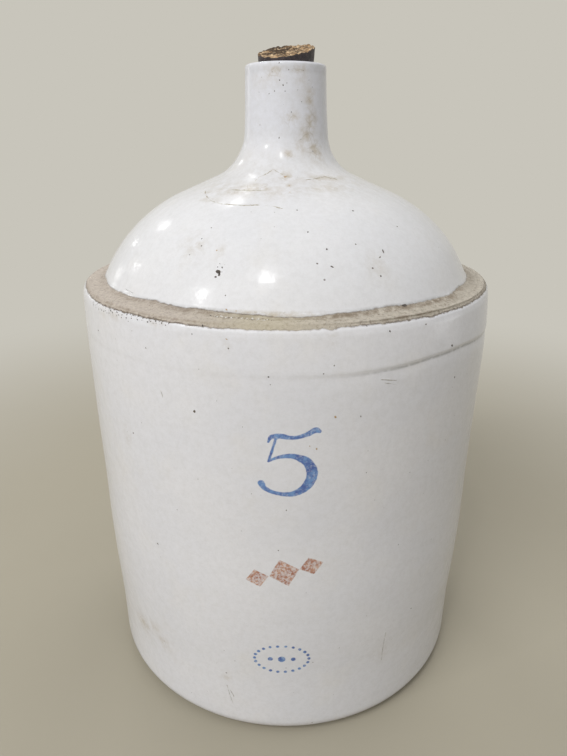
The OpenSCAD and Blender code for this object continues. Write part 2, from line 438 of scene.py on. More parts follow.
@dataclass(frozen=True)
class GlazeFinish:
    """White glaze on buff clay, with bare clay, painted marks and stains where the mesh stores them.

    The mesh stores, in millimetres, how far a point lies inside bare clay (bare) and inside a painted mark
    (cobalt, russet), and as shares how toasted a glaze edge is (toast), how stained the glaze is (stain) and
    how much dirt has settled, with painted shade in the crease under the band and painted shadow under the
    lip (grime).
    """
    name: str
    white: Colour = (0.748, 0.744, 0.768)
    cool: Colour = (0.698, 0.705, 0.752)
    warm: Colour = (0.728, 0.700, 0.660)
    upper: Colour = (0.690, 0.705, 0.775)
    mottle: Colour = (0.50, 0.49, 0.48)
    # Dark grey of dirt, and of the painted shade in the crease and painted shadow under the lip
    dirt_and_shade_tone: Colour = (0.235, 0.232, 0.222)
    tan_stain: Colour = (0.450, 0.375, 0.260)
    craze: Colour = (0.32, 0.26, 0.18)
    iron: Colour = (0.105, 0.075, 0.055)
    clay_pink: Colour = (0.425, 0.368, 0.322)
    clay_grey: Colour = (0.455, 0.418, 0.355)
    clay_sand: Colour = (0.60, 0.545, 0.455)
    clay_dark: Colour = (0.140, 0.108, 0.080)
    clay_soil: Colour = (0.200, 0.155, 0.110)
    clay_pore: Colour = (0.11, 0.085, 0.06)
    clay_cream: Colour = (0.480, 0.430, 0.300)
    toast_tone: Colour = (0.140, 0.110, 0.080)
    cobalt_deep: Colour = (0.038, 0.092, 0.325)
    cobalt_thin: Colour = (0.130, 0.270, 0.530)
    russet_deep: Colour = (0.340, 0.120, 0.060)
    russet_thin: Colour = (0.520, 0.290, 0.190)
    gloss: float = 0.15
    clay_gloss: float = 0.80
    speck_share: float = 0.35

    def build(self) -> bpy.types.Material:
        """The material.

        Returns:
            A new material that reads Object coordinates and the mesh's stored numbers.
        """
        material, t, shader = new_material(self.name)
        place = t.object_place()
        bare = self.ragged(t, place, "bare", 0.6, 0.8)
        clay = t.step(bare, -0.15, 0.20)
        colour = self.glaze_colour(t, place)
        colour = self.paint(t, place, colour, "cobalt", self.cobalt_deep, self.cobalt_thin, 0.30)
        colour = self.paint(t, place, colour, "russet", self.russet_deep, self.russet_thin, 0.62)
        edge = t.times(t.step(t.math("ABSOLUTE", bare), 0.10, 0.75, 1.0, 0.0), t.stored("toast"))
        edge = t.times(edge, t.step(t.grain(place, 320.0, 3.0, 0.6), 0.32, 0.58, 0.45, 1.0))
        colour = t.blend(clay, colour, self.clay_colour(t, place))
        dull = t.math("MULTIPLY_ADD", t.grain(place, 70.0, 3.0), 0.08, self.gloss)
        t.fill(shader, {"Base Color": t.blend(edge, colour, self.toast_tone),
                        "Roughness": t.mixed(clay, dull, self.clay_gloss), "IOR": 1.50})
        t.bump(shader, self.relief(t, place, clay), 0.6, 0.50)
        return material

    def ragged(self, t: Tree, place: Socket, mark: str, coarse: float, fine: float) -> Socket:
        """A stored distance whose edge is made uneven.

        Args:
            t: The tree.
            place: Object coordinates.
            mark: Name of the stored distance.
            coarse: Size of the long waves in millimetres.
            fine: Size of the short waves in millimetres.

        Returns:
            The uneven distance.
        """
        slow = t.math("SUBTRACT", t.grain(place, 90.0), 0.5)
        quick = t.math("SUBTRACT", t.grain(place, 420.0), 0.5)
        wave = t.math("MULTIPLY_ADD", slow, coarse * 2.0, t.stored(mark))
        return t.math("MULTIPLY_ADD", quick, fine * 2.0, wave)

    def glaze_colour(self, t: Tree, place: Socket) -> Socket:
        """White with slow clouds, stains, crazing and iron specks.

        Args:
            t: The tree.
            place: Object coordinates.

        Returns:
            The glaze's colour.
        """
        cloud = t.step(t.grain(place, 16.0, 3.0, 0.55), 0.30, 0.72)
        colour = t.blend(t.times(cloud, 0.50), self.white, self.cool)
        patch = t.step(t.grain(t.vector("ADD", place, (3.1, 1.7, 0.4)), 30.0, 3.0, 0.6), 0.50, 0.80)
        colour = t.tint(colour, patch, 0.30, self.warm)
        colour = t.blend(t.step(t.split(place)[2], 0.385, 0.420, 0.0, 0.65), colour, self.upper)
        colour = t.tint(colour, t.step(t.grain(place, 260.0, 6.0, 0.85), 0.36, 0.70), 0.23, self.mottle)
        # Dirt, and painted shade in the crease under the band and painted shadow under the lip, broken up by noise
        broken = t.step(t.grain(place, 300.0, 3.0), 0.25, 0.55, 0.35, 1.0)
        colour = t.blend(t.times(t.stored("grime"), broken), colour, self.dirt_and_shade_tone)
        stain = t.stored("stain")
        blotch = t.step(t.grain(place, 130.0, 4.0, 0.65), 0.30, 0.70)
        colour = t.blend(t.times(stain, blotch), colour, self.tan_stain)
        bent = t.add("ShaderNodeTexNoise", {"Vector": place, "Scale": 60.0}).outputs["Color"]
        cells = {"Vector": t.vector("ADD", place, t.scaled(bent, 0.010)), "Scale": 95.0}
        cracks = t.add("ShaderNodeTexVoronoi", cells, feature="DISTANCE_TO_EDGE").outputs["Distance"]
        line = t.times(t.step(cracks, 0.0, 0.035, 1.0, 0.0), t.step(stain, 0.12, 0.60, 0.0, 0.26))
        colour = t.blend(line, colour, self.craze)
        colour = t.tint(colour, t.specks(place, 7.0, 0.22, 0.50, self.speck_share), 0.55, self.iron)
        shifted = t.vector("ADD", place, (0.37, 0.11, 0.73))
        return t.tint(colour, t.specks(shifted, 17.0, 0.40, 0.80, 0.30), 0.70, self.iron)

    def paint(self, t: Tree, place: Socket, ground: Socket, mark: str, deep: Colour, thin: Colour,
              broken: float) -> Socket:
        """Colour with a painted mark over it.

        Args:
            t: The tree.
            place: Object coordinates.
            ground: Colour below the mark.
            mark: Name of the stored distance.
            deep: Colour where the paint is thick.
            thin: Colour where it is thin.
            broken: How much of the paint is missing, from 0 to 1.

        Returns:
            The painted colour.
        """
        inside = t.step(self.ragged(t, place, mark, 0.22, 0.35), -0.20, 0.45)
        wear = t.grain(t.vector("ADD", place, (0.7, 0.2, 0.9)), 520.0, 3.0, 0.7)
        held = t.step(wear, 0.28 + 0.22 * broken, 0.42 + 0.26 * broken, 1.0 - broken, 1.0)
        ink = t.blend(t.step(t.grain(place, 240.0, 3.0, 0.6), 0.34, 0.66), deep, thin)
        return t.blend(t.times(t.times(inside, held), 0.94), ground, ink)

    def clay_colour(self, t: Tree, place: Socket) -> Socket:
        """Bare fired clay: sandy, pinkish on one side and greyer on the other, with dirt in its pores.

        Args:
            t: The tree.
            place: Object coordinates.

        Returns:
            The clay's colour.
        """
        side = t.step(t.split(place)[0], -0.09, 0.10)
        colour = t.blend(side, self.clay_pink, self.clay_grey)
        sand = t.step(t.grain(place, 620.0, 4.0, 0.85), 0.42, 0.58)
        colour = t.tint(colour, sand, 0.55, self.clay_sand)
        dirt = t.step(t.grain(place, 400.0, 5.0, 0.80), 0.50, 0.64)
        colour = t.blend(t.times(dirt, t.step(side, 0.0, 0.55, 0.34, 0.58)), colour, self.clay_dark)
        soil = t.times(t.stored("grime"), t.step(t.grain(place, 160.0, 4.0, 0.7), 0.32, 0.62))
        colour = t.blend(soil, colour, self.clay_soil)
        colour = t.tint(colour, t.specks(place, 2.2, 0.16, 0.40, 0.5), 0.65, self.clay_pore)
        return t.tint(colour, t.stored("stain"), 0.64, self.clay_cream)

    def relief(self, t: Tree, place: Socket, clay: Socket) -> Socket:
        """Height for the bump: orange peel and pinholes in the glaze, and grain in the clay.

        Args:
            t: The tree.
            place: Object coordinates.
            clay: 1 on bare clay.

        Returns:
            The height.
        """
        peel = t.times(t.grain(place, 420.0, 2.0, 0.4), 0.13)
        high = t.math("MULTIPLY_ADD", t.grain(place, 110.0, 2.0, 0.4), 0.85, peel)
        pits = t.specks(t.vector("ADD", place, (0.9, 0.4, 0.2)), 4.2, 0.12, 0.34, 0.40)
        high = t.math("SUBTRACT", high, t.times(pits, 0.16))
        sand = t.times(t.grain(place, 1100.0, 4.0, 0.7), 0.9)
        sand = t.math("MULTIPLY_ADD", t.grain(place, 260.0, 3.0, 0.6), 1.2, sand)
        return t.mixed(clay, high, sand)


@dataclass(frozen=True)
class SlipFinish:
    """Thin fired clay slip that beds one piece on another."""
    name: str = "fired clay slip"
    light: Colour = (0.50, 0.42, 0.33)
    dark: Colour = (0.30, 0.24, 0.18)
    gloss: float = 0.85

    def build(self) -> bpy.types.Material:
        """The material.

        Returns:
            A new material that reads Object coordinates.
        """
        material, t, shader = new_material(self.name)
        place = t.object_place()
        tone = t.step(t.grain(place, 300.0, 4.0, 0.6), 0.35, 0.65)
        t.fill(shader, {"Base Color": t.blend(tone, self.light, self.dark), "Roughness": self.gloss})
        t.bump(shader, t.grain(place, 900.0, 4.0, 0.7), 1.0, 0.4)
        return material


@dataclass(frozen=True)
class MarkFinish:
    """A spot or a line in the glaze: iron, ochre, or a wrinkle in the glaze itself."""
    name: str
    deep: Colour
    pale: Colour
    gloss: float = 0.25

    def build(self) -> bpy.types.Material:
        """The material.

        Returns:
            A new material that reads Object coordinates.
        """
        material, t, shader = new_material(self.name)
        place = t.object_place()
        tone = t.step(t.grain(place, 700.0, 3.0, 0.6), 0.35, 0.70)
        dull = t.math("MULTIPLY_ADD", t.grain(place, 500.0), 0.15, self.gloss)
        t.fill(shader, {"Base Color": t.blend(tone, self.deep, self.pale), "Roughness": dull})
        return material


@dataclass(frozen=True)
class CorkFinish:
    """Old cork: tarry dark sides with pores, and a torn tan face on top."""
    name: str = "old broken cork"
    side: Colour = (0.022, 0.016, 0.019)
    side_light: Colour = (0.062, 0.045, 0.045)
    pore: Colour = (0.012, 0.009, 0.010)
    face: Colour = (0.440, 0.260, 0.120)
    face_light: Colour = (0.740, 0.560, 0.360)
    face_dark: Colour = (0.042, 0.028, 0.020)
    side_gloss: float = 0.50
    face_gloss: float = 0.92

    def build(self) -> bpy.types.Material:
        """The material.

        Returns:
            A new material that reads Object coordinates, how torn the surface is (torn) and where it is
            burnt (char).
        """
        material, t, shader = new_material(self.name)
        place = t.object_place()
        sides = t.blend(t.step(t.grain(place, 500.0, 4.0, 0.65), 0.40, 0.75), self.side, self.side_light)
        pores = t.specks(t.vector("MULTIPLY", place, (1.0, 1.0, 0.55)), 3.4, 0.25, 0.75, 0.5)
        sides = t.blend(pores, sides, self.pore)
        tone = t.step(t.grain(place, 330.0, 4.0, 0.65), 0.34, 0.66)
        cells = t.add("ShaderNodeTexVoronoi", {"Vector": place, "Scale": 420.0}, feature="F1")
        crumb = t.step(cells.outputs["Distance"], 0.25, 0.75)
        face = t.tint(t.blend(tone, self.face, self.face_light), crumb, 0.55, self.face_dark)
        split = t.math("MULTIPLY_ADD", t.stored("char"), 0.16, t.grain(place, 260.0, 5.0, 0.75))
        face = t.tint(face, t.step(split, 0.50, 0.60), 0.92, self.face_dark)
        torn = t.math("SUBTRACT", t.grain(place, 400.0, 3.0), 0.5)
        mask = t.step(t.math("MULTIPLY_ADD", torn, 0.5, t.stored("torn")), 0.40, 0.75)
        t.fill(shader, {"Base Color": t.blend(mask, sides, face),
                        "Roughness": t.mixed(mask, self.side_gloss, self.face_gloss)})
        high = t.math("MULTIPLY_ADD", t.grain(place, 800.0, 4.0, 0.7), 0.8, t.grain(place, 250.0, 3.0))
        t.bump(shader, high, 0.8, 0.8)
        return material


# The jug's form

def two_sided(points: Points, outside: int) -> Section:
    """A section with 0 for the points that lie outside, which come first, and 1 for the rest."""
    return points, [int(i >= outside) for i in range(len(points))]


@dataclass(frozen=True)
class JugForm:
    """Sizes of the jug's sections, the same as its solids have, and the sections themselves."""
    crock_r: float = 150.0
    foot_r: float = 145.0
    crock_h: float = 311.0
    crock_wall: float = 12.0
    floor_t: float = 14.0
    heel_r: float = 12.0
    floor_fillet_r: float = 22.0
    hollow_r: float = 96.0
    hollow_d: float = 2.0
    hollow_round: float = 1.2
    band_proud: float = 1.4
    ledge_w: float = 16.5
    ledge_rise: float = 3.5
    ledge_round: float = 2.0
    roll_w: float = 5.9
    roll_z: float = 303.9
    rim_w: float = 10.0
    seat_d: float = 13.0
    seat_w: float = 12.0
    corbel_h: float = 26.0
    slip_t: float = 1.2
    dome_arc_r: float = 113.0
    dome_base_angle: float = 25.5
    crown_slope: float = 23.0
    dome_wall: float = 10.4
    seam_r: float = 62.0
    shelf_w: float = 5.0
    neck_slip_t: float = 0.8
    lute_gap: float = 0.2
    jug_h: float = 452.0
    lip_r: float = 27.8
    neck_r: float = 29.7
    bore_r: float = 18.8
    neck_fillet_r: float = 29.5
    lip_round: float = 3.0
    lip_edge: float = 1.9
    wall_step: float = 4.0
    fine_step: float = 0.8

    @property
    def rim_r(self) -> float:
        """Radius at which the crock's rim meets the dome's flange."""
        return self.crock_r - self.rim_w

    @property
    def dome_base_r(self) -> float:
        """Radius at which the dome rises from the ledge."""
        return self.crock_r - self.ledge_w

    @property
    def seat_z(self) -> float:
        """Height of the crock's seat."""
        return self.crock_h - self.seat_d

    @property
    def seam(self) -> tuple[float, float]:
        """Point on the crown where dome and neck meet."""
        return self.seam_r, self.crown_line(self.seam_r)

    @property
    def shelf_z(self) -> float:
        """Height of the dome's shelf under the neck."""
        return (self.crown_line(self.seam_r) + self.crown_under(self.seam_r)) / 2.0

    @property
    def dome_centre(self) -> tuple[float, float]:
        """Centre of the dome's arc.

        Returns:
            Its distance from the axis and its height.
        """
        a = math.radians(self.dome_base_angle)
        return (self.dome_base_r - self.dome_arc_r * math.cos(a),
                self.ledge_z(self.dome_base_r) - self.dome_arc_r * math.sin(a))

    @property
    def crown_angle(self) -> float:
        """Angle of the arc where the straight crown begins."""
        return 90.0 - self.crown_slope

    @property
    def crown_start(self) -> tuple[float, float]:
        """Point where the straight crown begins."""
        x, z = self.dome_centre
        return arc(x, z, self.dome_arc_r, self.crown_angle, self.crown_angle, 1)[0]

    @property
    def fillet_centre(self) -> tuple[float, float]:
        """Centre of the hollow curve between crown and neck."""
        rise = self.neck_fillet_r * math.tan(math.radians(self.crown_angle) / 2.0)
        return self.neck_r + self.neck_fillet_r, self.crown_line(self.neck_r) + rise

    def ledge_z(self, r: float) -> float:
        """Height of the ledge at a radius."""
        edge = self.crock_r - self.ledge_round
        return self.crock_h + self.ledge_rise * (edge - r) / (edge - self.dome_base_r)

    def crown_line(self, r: float) -> float:
        """Height of the straight crown at a radius."""
        x, z = self.crown_start
        return z + (x - r) * math.tan(math.radians(self.crown_slope))

    def crown_under(self, r: float) -> float:
        """Height of the crown's underside at a radius."""
        return self.crown_line(r) - self.dome_wall / math.cos(math.radians(self.crown_slope))

    def crock_section(self, fine: Points) -> Section:
        """Section of the crock, from under the foot, up the wall and down the inside.

        Args:
            fine: Ranges of height in which the rows lie close.

        Returns:
            The points, and for each 0 outside or 1 inside.
        """
        heel_in = self.foot_r - self.heel_r
        points = [(0.0, self.hollow_d)]
        points += run((30.0, self.hollow_d), (self.hollow_r - self.hollow_d, self.hollow_d), 12.0)
        points += arc(self.hollow_r, self.hollow_round, self.hollow_round, 200.0, 270.0, 4)
        points += run((self.hollow_r + 3.0, 0.0), (heel_in, 0.0), 8.0)
        points += arc(heel_in, self.heel_r, self.heel_r, -90.0, 0.0, 12)
        points += [(self.crock_r, z) for z in self.wall_rows(fine)]
        roll_r = self.crock_r - self.roll_w
        tall = self.ledge_z(roll_r) - self.roll_z
        points += [(roll_r + x * self.roll_w, self.roll_z + z * tall)
                   for x, z in arc(0.0, 0.0, 1.0, 0.0, 90.0, 14)]
        points += run((roll_r, self.ledge_z(roll_r)), (self.rim_r, self.ledge_z(self.rim_r)), 0.8)[1:]
        outside = len(points) + 1
        points.append((self.rim_r, self.ledge_z(self.rim_r)))
        seat_in = (self.rim_r - self.seat_w, self.seat_z)
        corbel = (self.crock_r - self.band_proud - self.crock_wall, self.seat_z - self.corbel_h)
        foot_in = self.foot_r - self.crock_wall
        fillet_r, fillet_z = foot_in - self.floor_fillet_r, self.floor_t + self.floor_fillet_r
        points += run((self.rim_r, self.seat_z), seat_in, 6.0)
        points += run(seat_in, corbel, 6.0)
        points += run(corbel, (foot_in, fillet_z), 14.0)
        points += arc(fillet_r, fillet_z, self.floor_fillet_r, 0.0, -90.0, 8)
        points += run((fillet_r - 10.0, self.floor_t), (0.0, self.floor_t), 20.0)
        return two_sided(points + [(0.0, self.floor_t)], outside)

    def wall_rows(self, fine: Points) -> list[float]:
        """Heights of the wall's rows.

        Args:
            fine: Ranges of height in which the rows lie close.

        Returns:
            Rising heights between the heel and the rolled rim.
        """
        rows = [self.heel_r]
        while rows[-1] < self.roll_z - 0.9:
            z = rows[-1]
            step = self.fine_step if any(low <= z < high for low, high in fine) else self.wall_step
            ahead = [low for low, _ in fine if z < low < z + step]
            rows.append(min(ahead + [z + step, self.roll_z - 0.6]))
        return rows[1:]

    def dome_section(self) -> Section:
        """Closed section of the dome, from the flange's foot up its outside and back inside.

        Returns:
            The points, the last one the same as the first, and for each 0 outside or 1 inside.
        """
        x, z = self.dome_centre
        flange_z = self.seat_z + self.slip_t
        rim = (self.rim_r, self.ledge_z(self.rim_r))
        under = self.dome_arc_r - self.dome_wall
        shelf_r = self.seam_r - self.shelf_w
        points = run((self.rim_r, flange_z), rim, 5.0)
        points += run(rim, (self.dome_base_r, self.ledge_z(self.dome_base_r)), 0.65)
        points += arc(x, z, self.dome_arc_r, self.dome_base_angle, self.crown_angle, 46)
        points += run(self.crown_start, self.seam, 1.5)[1:] + [self.seam]
        outside = len(points)
        points += run((self.seam_r, self.shelf_z), (shelf_r, self.shelf_z), 5.0)
        points += [(shelf_r, self.shelf_z), (shelf_r, self.crown_under(shelf_r))]
        end = math.degrees(math.asin((flange_z - z) / under))
        points += arc(x, z, under, self.crown_angle, end, 16)
        return two_sided(points + points[:1], outside)

    def neck_section(self) -> Section:
        """Closed section of the neck, from its skirt up to the lip and down the bore.

        Returns:
            The points, the last one the same as the first, and for each 0 outside or 1 inside.
        """
        x, z = self.fillet_centre
        lip_z = self.jug_h - self.lip_round
        edge_r, edge_z = self.lip_r - self.lip_edge, self.jug_h - self.lip_edge
        round_r = self.bore_r + self.lip_round
        end = 180.0 + self.crown_angle
        skirt_z = self.shelf_z + self.neck_slip_t
        skirt_in = self.seam_r - self.shelf_w - self.lute_gap
        hollow = arc(x, z, self.neck_fillet_r, end, 180.0, 30)
        points = [(self.seam_r, skirt_z)] + run(self.seam, hollow[0], 1.5) + hollow[:-1]
        points += run((self.neck_r, z), (self.lip_r, lip_z), 2.5)
        points += run((self.lip_r, lip_z), (self.lip_r, edge_z), 0.6)
        points += arc(edge_r, edge_z, self.lip_edge, 0.0, 90.0, 8)
        points += run((edge_r, self.jug_h), (round_r, self.jug_h), 1.0)[1:]
        outside = len(points)
        points += arc(round_r, lip_z, self.lip_round, 90.0, 180.0, 8)
        points += run((self.bore_r, lip_z), (self.bore_r, z), 6.0)[1:]
        points += arc(x, z, x - self.bore_r, 180.0, end, 14)
        points += [(skirt_in, self.crown_under(skirt_in)), (skirt_in, skirt_z), points[0]]
        return two_sided(points, outside)


@dataclass(frozen=True)
class HandleForm:
    """Sizes of the strap handle, the same as its solid has, and how closely its line is divided."""
    width: float = 31.0
    thick: float = 13.0
    root_w: float = 11.0
    root_t: float = 7.0
    root_len: float = 20.0
    groove: float = 1.6
    drop: float = 26.5
    tilt: float = 8.0
    reach: float = 20.0
    bend_r: float = 32.0
    turn: float = 101.0
    bury: float = 3.0
    arm_steps: int = 16
    bend_steps: int = 40
    leg_steps: int = 12

    def stations(self, form: JugForm) -> list[tuple[float, float, float]]:
        """Stations along the strap, from inside the neck's wall to inside the dome's.

        Args:
            form: The jug that it is luted to.

        Returns:
            Distance behind the axis, height and direction in degrees for each station.
        """
        a = math.radians(self.tilt)
        y0, z0 = form.neck_r - self.bury, form.jug_h - self.drop
        length = self.reach + self.bury
        y1, z1 = y0 + length * math.cos(a), z0 + length * math.sin(a)
        cy, cz = y1 + self.bend_r * math.sin(a), z1 - self.bend_r * math.cos(a)
        start, end = 90.0 + self.tilt, 90.0 + self.tilt - self.turn
        out = [(y0 + (y1 - y0) * i / self.arm_steps, z0 + (z1 - z0) * i / self.arm_steps, self.tilt)
               for i in range(self.arm_steps)]
        bend = arc(cy, cz, self.bend_r, start, end, self.bend_steps)
        out += [(y, z, self.tilt - self.turn * i / self.bend_steps) for i, (y, z) in enumerate(bend[:-1])]
        y2, z2 = bend[-1]
        x, z = form.dome_centre
        z3 = z + math.sqrt(form.dome_arc_r ** 2 - (y2 - x) ** 2) - self.bury
        y3 = y2 + (z2 - z3) / math.tan(math.radians(90.0 - end))
        return out + [(y2 + (y3 - y2) * i / self.leg_steps, z2 + (z3 - z2) * i / self.leg_steps, end - 90.0)
                      for i in range(self.leg_steps + 1)]


# Handwork: how the real jug leaves its perfect form

@dataclass(frozen=True)
class Swell:
    """A soft dent or bulge of the wall."""
    azimuth: float
    height: float
    wide: float
    tall: float
    amount: float


@dataclass(frozen=True)
class Handwork:
    """Irregularities of a thrown and luted jug, the same for every piece, so that joints stay closed."""
    swells: tuple[Swell, ...] = (Swell(30.0, 190.0, 30.0, 50.0, 0.3), Swell(172.0, 150.0, 40.0, 60.0, -0.8))
    waist: float = -0.45
    waist_z: float = 422.0
    waist_tall: float = 15.0
    flare_z: float = 392.0
    flare_tall: float = 8.0
    lean: float = -0.95
    lean_from: float = 378.0

    def apply(self, points: np.ndarray, form: JugForm) -> np.ndarray:
        """Moves points of the perfect jug to where the real one has them.

        Args:
            points: Points in millimetres.
            form: The jug.

        Returns:
            The moved points.
        """
        moved = points.copy()
        r, azimuth, z = polar(points)
        shift = np.zeros(len(points))
        for swell in self.swells:
            across = angle_gap(azimuth, swell.azimuth) / swell.wide
            shift += swell.amount * bell(np.hypot(across, (z - swell.height) / swell.tall))
        shift *= smooth(r, 100.0, 130.0) * smooth(z, 4.0, 30.0)
        pinch = self.waist * bell((z - self.waist_z) / self.waist_tall) * (1.0 - smooth(r, 34.0, 44.0))
        flare = bell((z - self.flare_z) / self.flare_tall) * (0.7 - 0.6 * np.sin(np.radians(azimuth)))
        shift += (pinch + flare * (1.0 - smooth(r, 44.0, 58.0))) * smooth(r, 22.0, 27.0)
        moved[:, :2] *= (1.0 + shift / np.maximum(r, 1.0))[:, None]
        moved[:, 0] += self.lean * smooth(z, self.lean_from, form.jug_h)
        return moved


# Geometry Nodes trees

class NodesTree(Tree):
    """A Geometry Nodes tree with named inputs."""

    def __init__(self, name: str, inputs: dict[str, int | float]) -> None:
        """Makes the tree, its inputs and its output.

        Args:
            name: The tree's name.
            inputs: Default of each input between the geometry and the finish, by name.
        """
        super().__init__(bpy.data.node_groups.new(name, "GeometryNodeTree"))
        face = self.tree.interface
        face.new_socket("Geometry", in_out="INPUT", socket_type="NodeSocketGeometry")
        for label, default in inputs.items():
            kind = "NodeSocketInt" if isinstance(default, int) else "NodeSocketFloat"
            face.new_socket(label, in_out="INPUT", socket_type=kind).default_value = default
        face.new_socket("Finish", in_out="INPUT", socket_type="NodeSocketMaterial")
        face.new_socket("Geometry", in_out="OUTPUT", socket_type="NodeSocketGeometry")
        self.start = self.add("NodeGroupInput").outputs
        self.end = self.add("NodeGroupOutput")

    def finish(self, geometry: Socket) -> None:
        """Realizes what is instanced, gives it its finish and sends it out.

        Args:
            geometry: The tree's result.
        """
        real = self.add("GeometryNodeRealizeInstances", {0: geometry})
        dressed = {"Geometry": real.outputs[0], "Material": self.start["Finish"]}
        self.fill(self.end, {0: self.add("GeometryNodeSetMaterial", dressed).outputs[0]})

    def here(self) -> Socket:
        """Where each point is."""
        return self.add("GeometryNodeInputPosition").outputs[0]

    def named(self, name: str, kind: str = "FLOAT") -> Socket:
        """A value stored on the geometry."""
        node = self.add("GeometryNodeInputNamedAttribute", {"Name": name}, data_type=kind)
        return node.outputs["Attribute"]

    def sampled(self, value: Socket, index: Socket, kind: str = "FLOAT") -> Socket:
        """A value read from one point of the starting geometry."""
        inputs = {"Geometry": self.start["Geometry"], "Value": value, "Index": index}
        return self.add("GeometryNodeSampleIndex", inputs, data_type=kind, domain="POINT").outputs[0]

    def seeded(self, place: Socket, scale: object, detail: float = 2.0) -> bpy.types.NodeOutputs:
        """Noise that the tree's seed draws, as a number (Fac) and as a vector (Color)."""
        inputs = {"Vector": place, "W": self.start["Seed"], "Scale": scale, "Detail": detail}
        return self.add("ShaderNodeTexNoise", inputs, noise_dimensions="4D").outputs

    def rows_and_columns(self, columns: Socket) -> tuple[Socket, Socket, Socket]:
        """A grid with one row for each point of the starting geometry.

        Args:
            columns: Number of columns less one.

        Returns:
            The grid, and each point's row number and column number.
        """
        size = self.add("GeometryNodeAttributeDomainSize", {0: self.start["Geometry"]}, component="MESH")
        across = self.math("ADD", columns, 1.0)
        counts = {"Vertices X": size.outputs["Point Count"], "Vertices Y": across}
        grid = self.add("GeometryNodeMeshGrid", counts).outputs[0]
        index = self.add("GeometryNodeInputIndex").outputs[0]
        row = self.math("FLOOR", self.math("DIVIDE", self.math("ADD", index, 0.5), across))
        return grid, row, self.math("SUBTRACT", index, self.times(row, across))

    def joined_up(self, grid: Socket, place: Socket, inside: object) -> Socket:
        """Moves a grid's points, notes which are inside, merges the ones that meet and smooths the faces.

        Args:
            grid: Mesh to close.
            place: Where its points go.
            inside: 1 for a point on the inside, or else 0.

        Returns:
            The closed mesh.
        """
        shape = self.add("GeometryNodeSetPosition", {"Geometry": grid, "Position": place})
        noted = self.add("GeometryNodeStoreNamedAttribute", data_type="FLOAT", domain="POINT")
        self.fill(noted, {"Geometry": shape.outputs[0], "Name": "inside", "Value": inside})
        merge = self.add("GeometryNodeMergeByDistance", {"Geometry": noted.outputs[0], "Distance": 0.01 * MM})
        return self.add("GeometryNodeSetShadeSmooth", {0: merge.outputs[0]}).outputs[0]


def thrown_tree() -> bpy.types.NodeTree:
    """Tree that turns a section into a thrown form, with close columns at the front and a slow waver.

    Returns:
        The tree.
    """
    t = NodesTree("Thrown form", {"Front columns": 60, "Back columns": 160, "Front half angle": 12.0,
                                  "Waver": 0.0002, "Waver scale": 14.0, "Seed": 1})
    s = t.start
    count, half = s["Front columns"], s["Front half angle"]
    grid, row, column = t.rows_and_columns(t.math("ADD", count, s["Back columns"]))
    radius, _, height = t.split(t.sampled(t.here(), row, "FLOAT_VECTOR"))
    full = t.times(half, 2.0)
    front = t.math("SUBTRACT", t.times(t.math("DIVIDE", column, count), full), half)
    past = t.math("DIVIDE", t.math("SUBTRACT", column, count), s["Back columns"])
    back = t.math("ADD", half, t.times(past, t.math("SUBTRACT", 360.0, full)))
    is_back = t.math("GREATER_THAN", column, count)
    angle = t.math("RADIANS", t.math("ADD", front, t.times(is_back, t.math("SUBTRACT", back, front))))
    way = t.combine(t.math("SINE", angle), t.times(t.math("COSINE", angle), -1.0))
    point = t.vector("ADD", t.scaled(way, radius), t.combine(z=height))
    wave = t.seeded(point, s["Waver scale"], 1.5)["Fac"]
    swing = t.times(t.times(t.math("SUBTRACT", wave, 0.5), 2.0), s["Waver"])
    reach = t.times(swing, t.step(radius, 0.0, 0.03))
    moved = t.vector("ADD", point, t.scaled(way, reach))
    t.finish(t.joined_up(grid, moved, t.sampled(t.named("inside"), row)))
    return t.tree


def strap_tree() -> bpy.types.NodeTree:
    """Tree that sweeps a grooved strap along its stations.

    Returns:
        The tree.
    """
    t = NodesTree("Pulled strap", {"Sides": 48, "Corner share": 0.7, "Groove": 0.0016})
    s = t.start
    grid, row, column = t.rows_and_columns(s["Sides"])
    place = t.sampled(t.here(), row, "FLOAT_VECTOR")
    wide, thick, tilt = (t.sampled(t.named(name), row) for name in ("wide", "thick", "tilt"))
    angle = t.times(t.math("DIVIDE", column, s["Sides"]), math.tau)
    cosine, sine = t.math("COSINE", angle), t.math("SINE", angle)

    def squared(value: Socket) -> Socket:
        """A sine or cosine that makes the section squarer than an ellipse."""
        return t.times(t.math("SIGN", value), t.math("POWER", t.math("ABSOLUTE", value), s["Corner share"]))

    across = t.times(t.times(wide, 0.5), squared(cosine))
    out = t.times(t.times(thick, 0.5), squared(sine))
    dip = t.math("COSINE", t.times(t.math("DIVIDE", across, wide), math.pi))
    dip = t.times(t.math("POWER", t.math("MAXIMUM", dip, 0.0), 2.0), s["Groove"])
    out = t.math("SUBTRACT", out, t.times(dip, t.math("GREATER_THAN", sine, 0.0001)))
    behind = t.times(t.math("SINE", tilt), t.times(out, -1.0))
    shift = t.combine(across, behind, t.times(t.math("COSINE", tilt), out))
    t.finish(t.joined_up(grid, t.vector("ADD", place, shift), 0.0))
    return t.tree


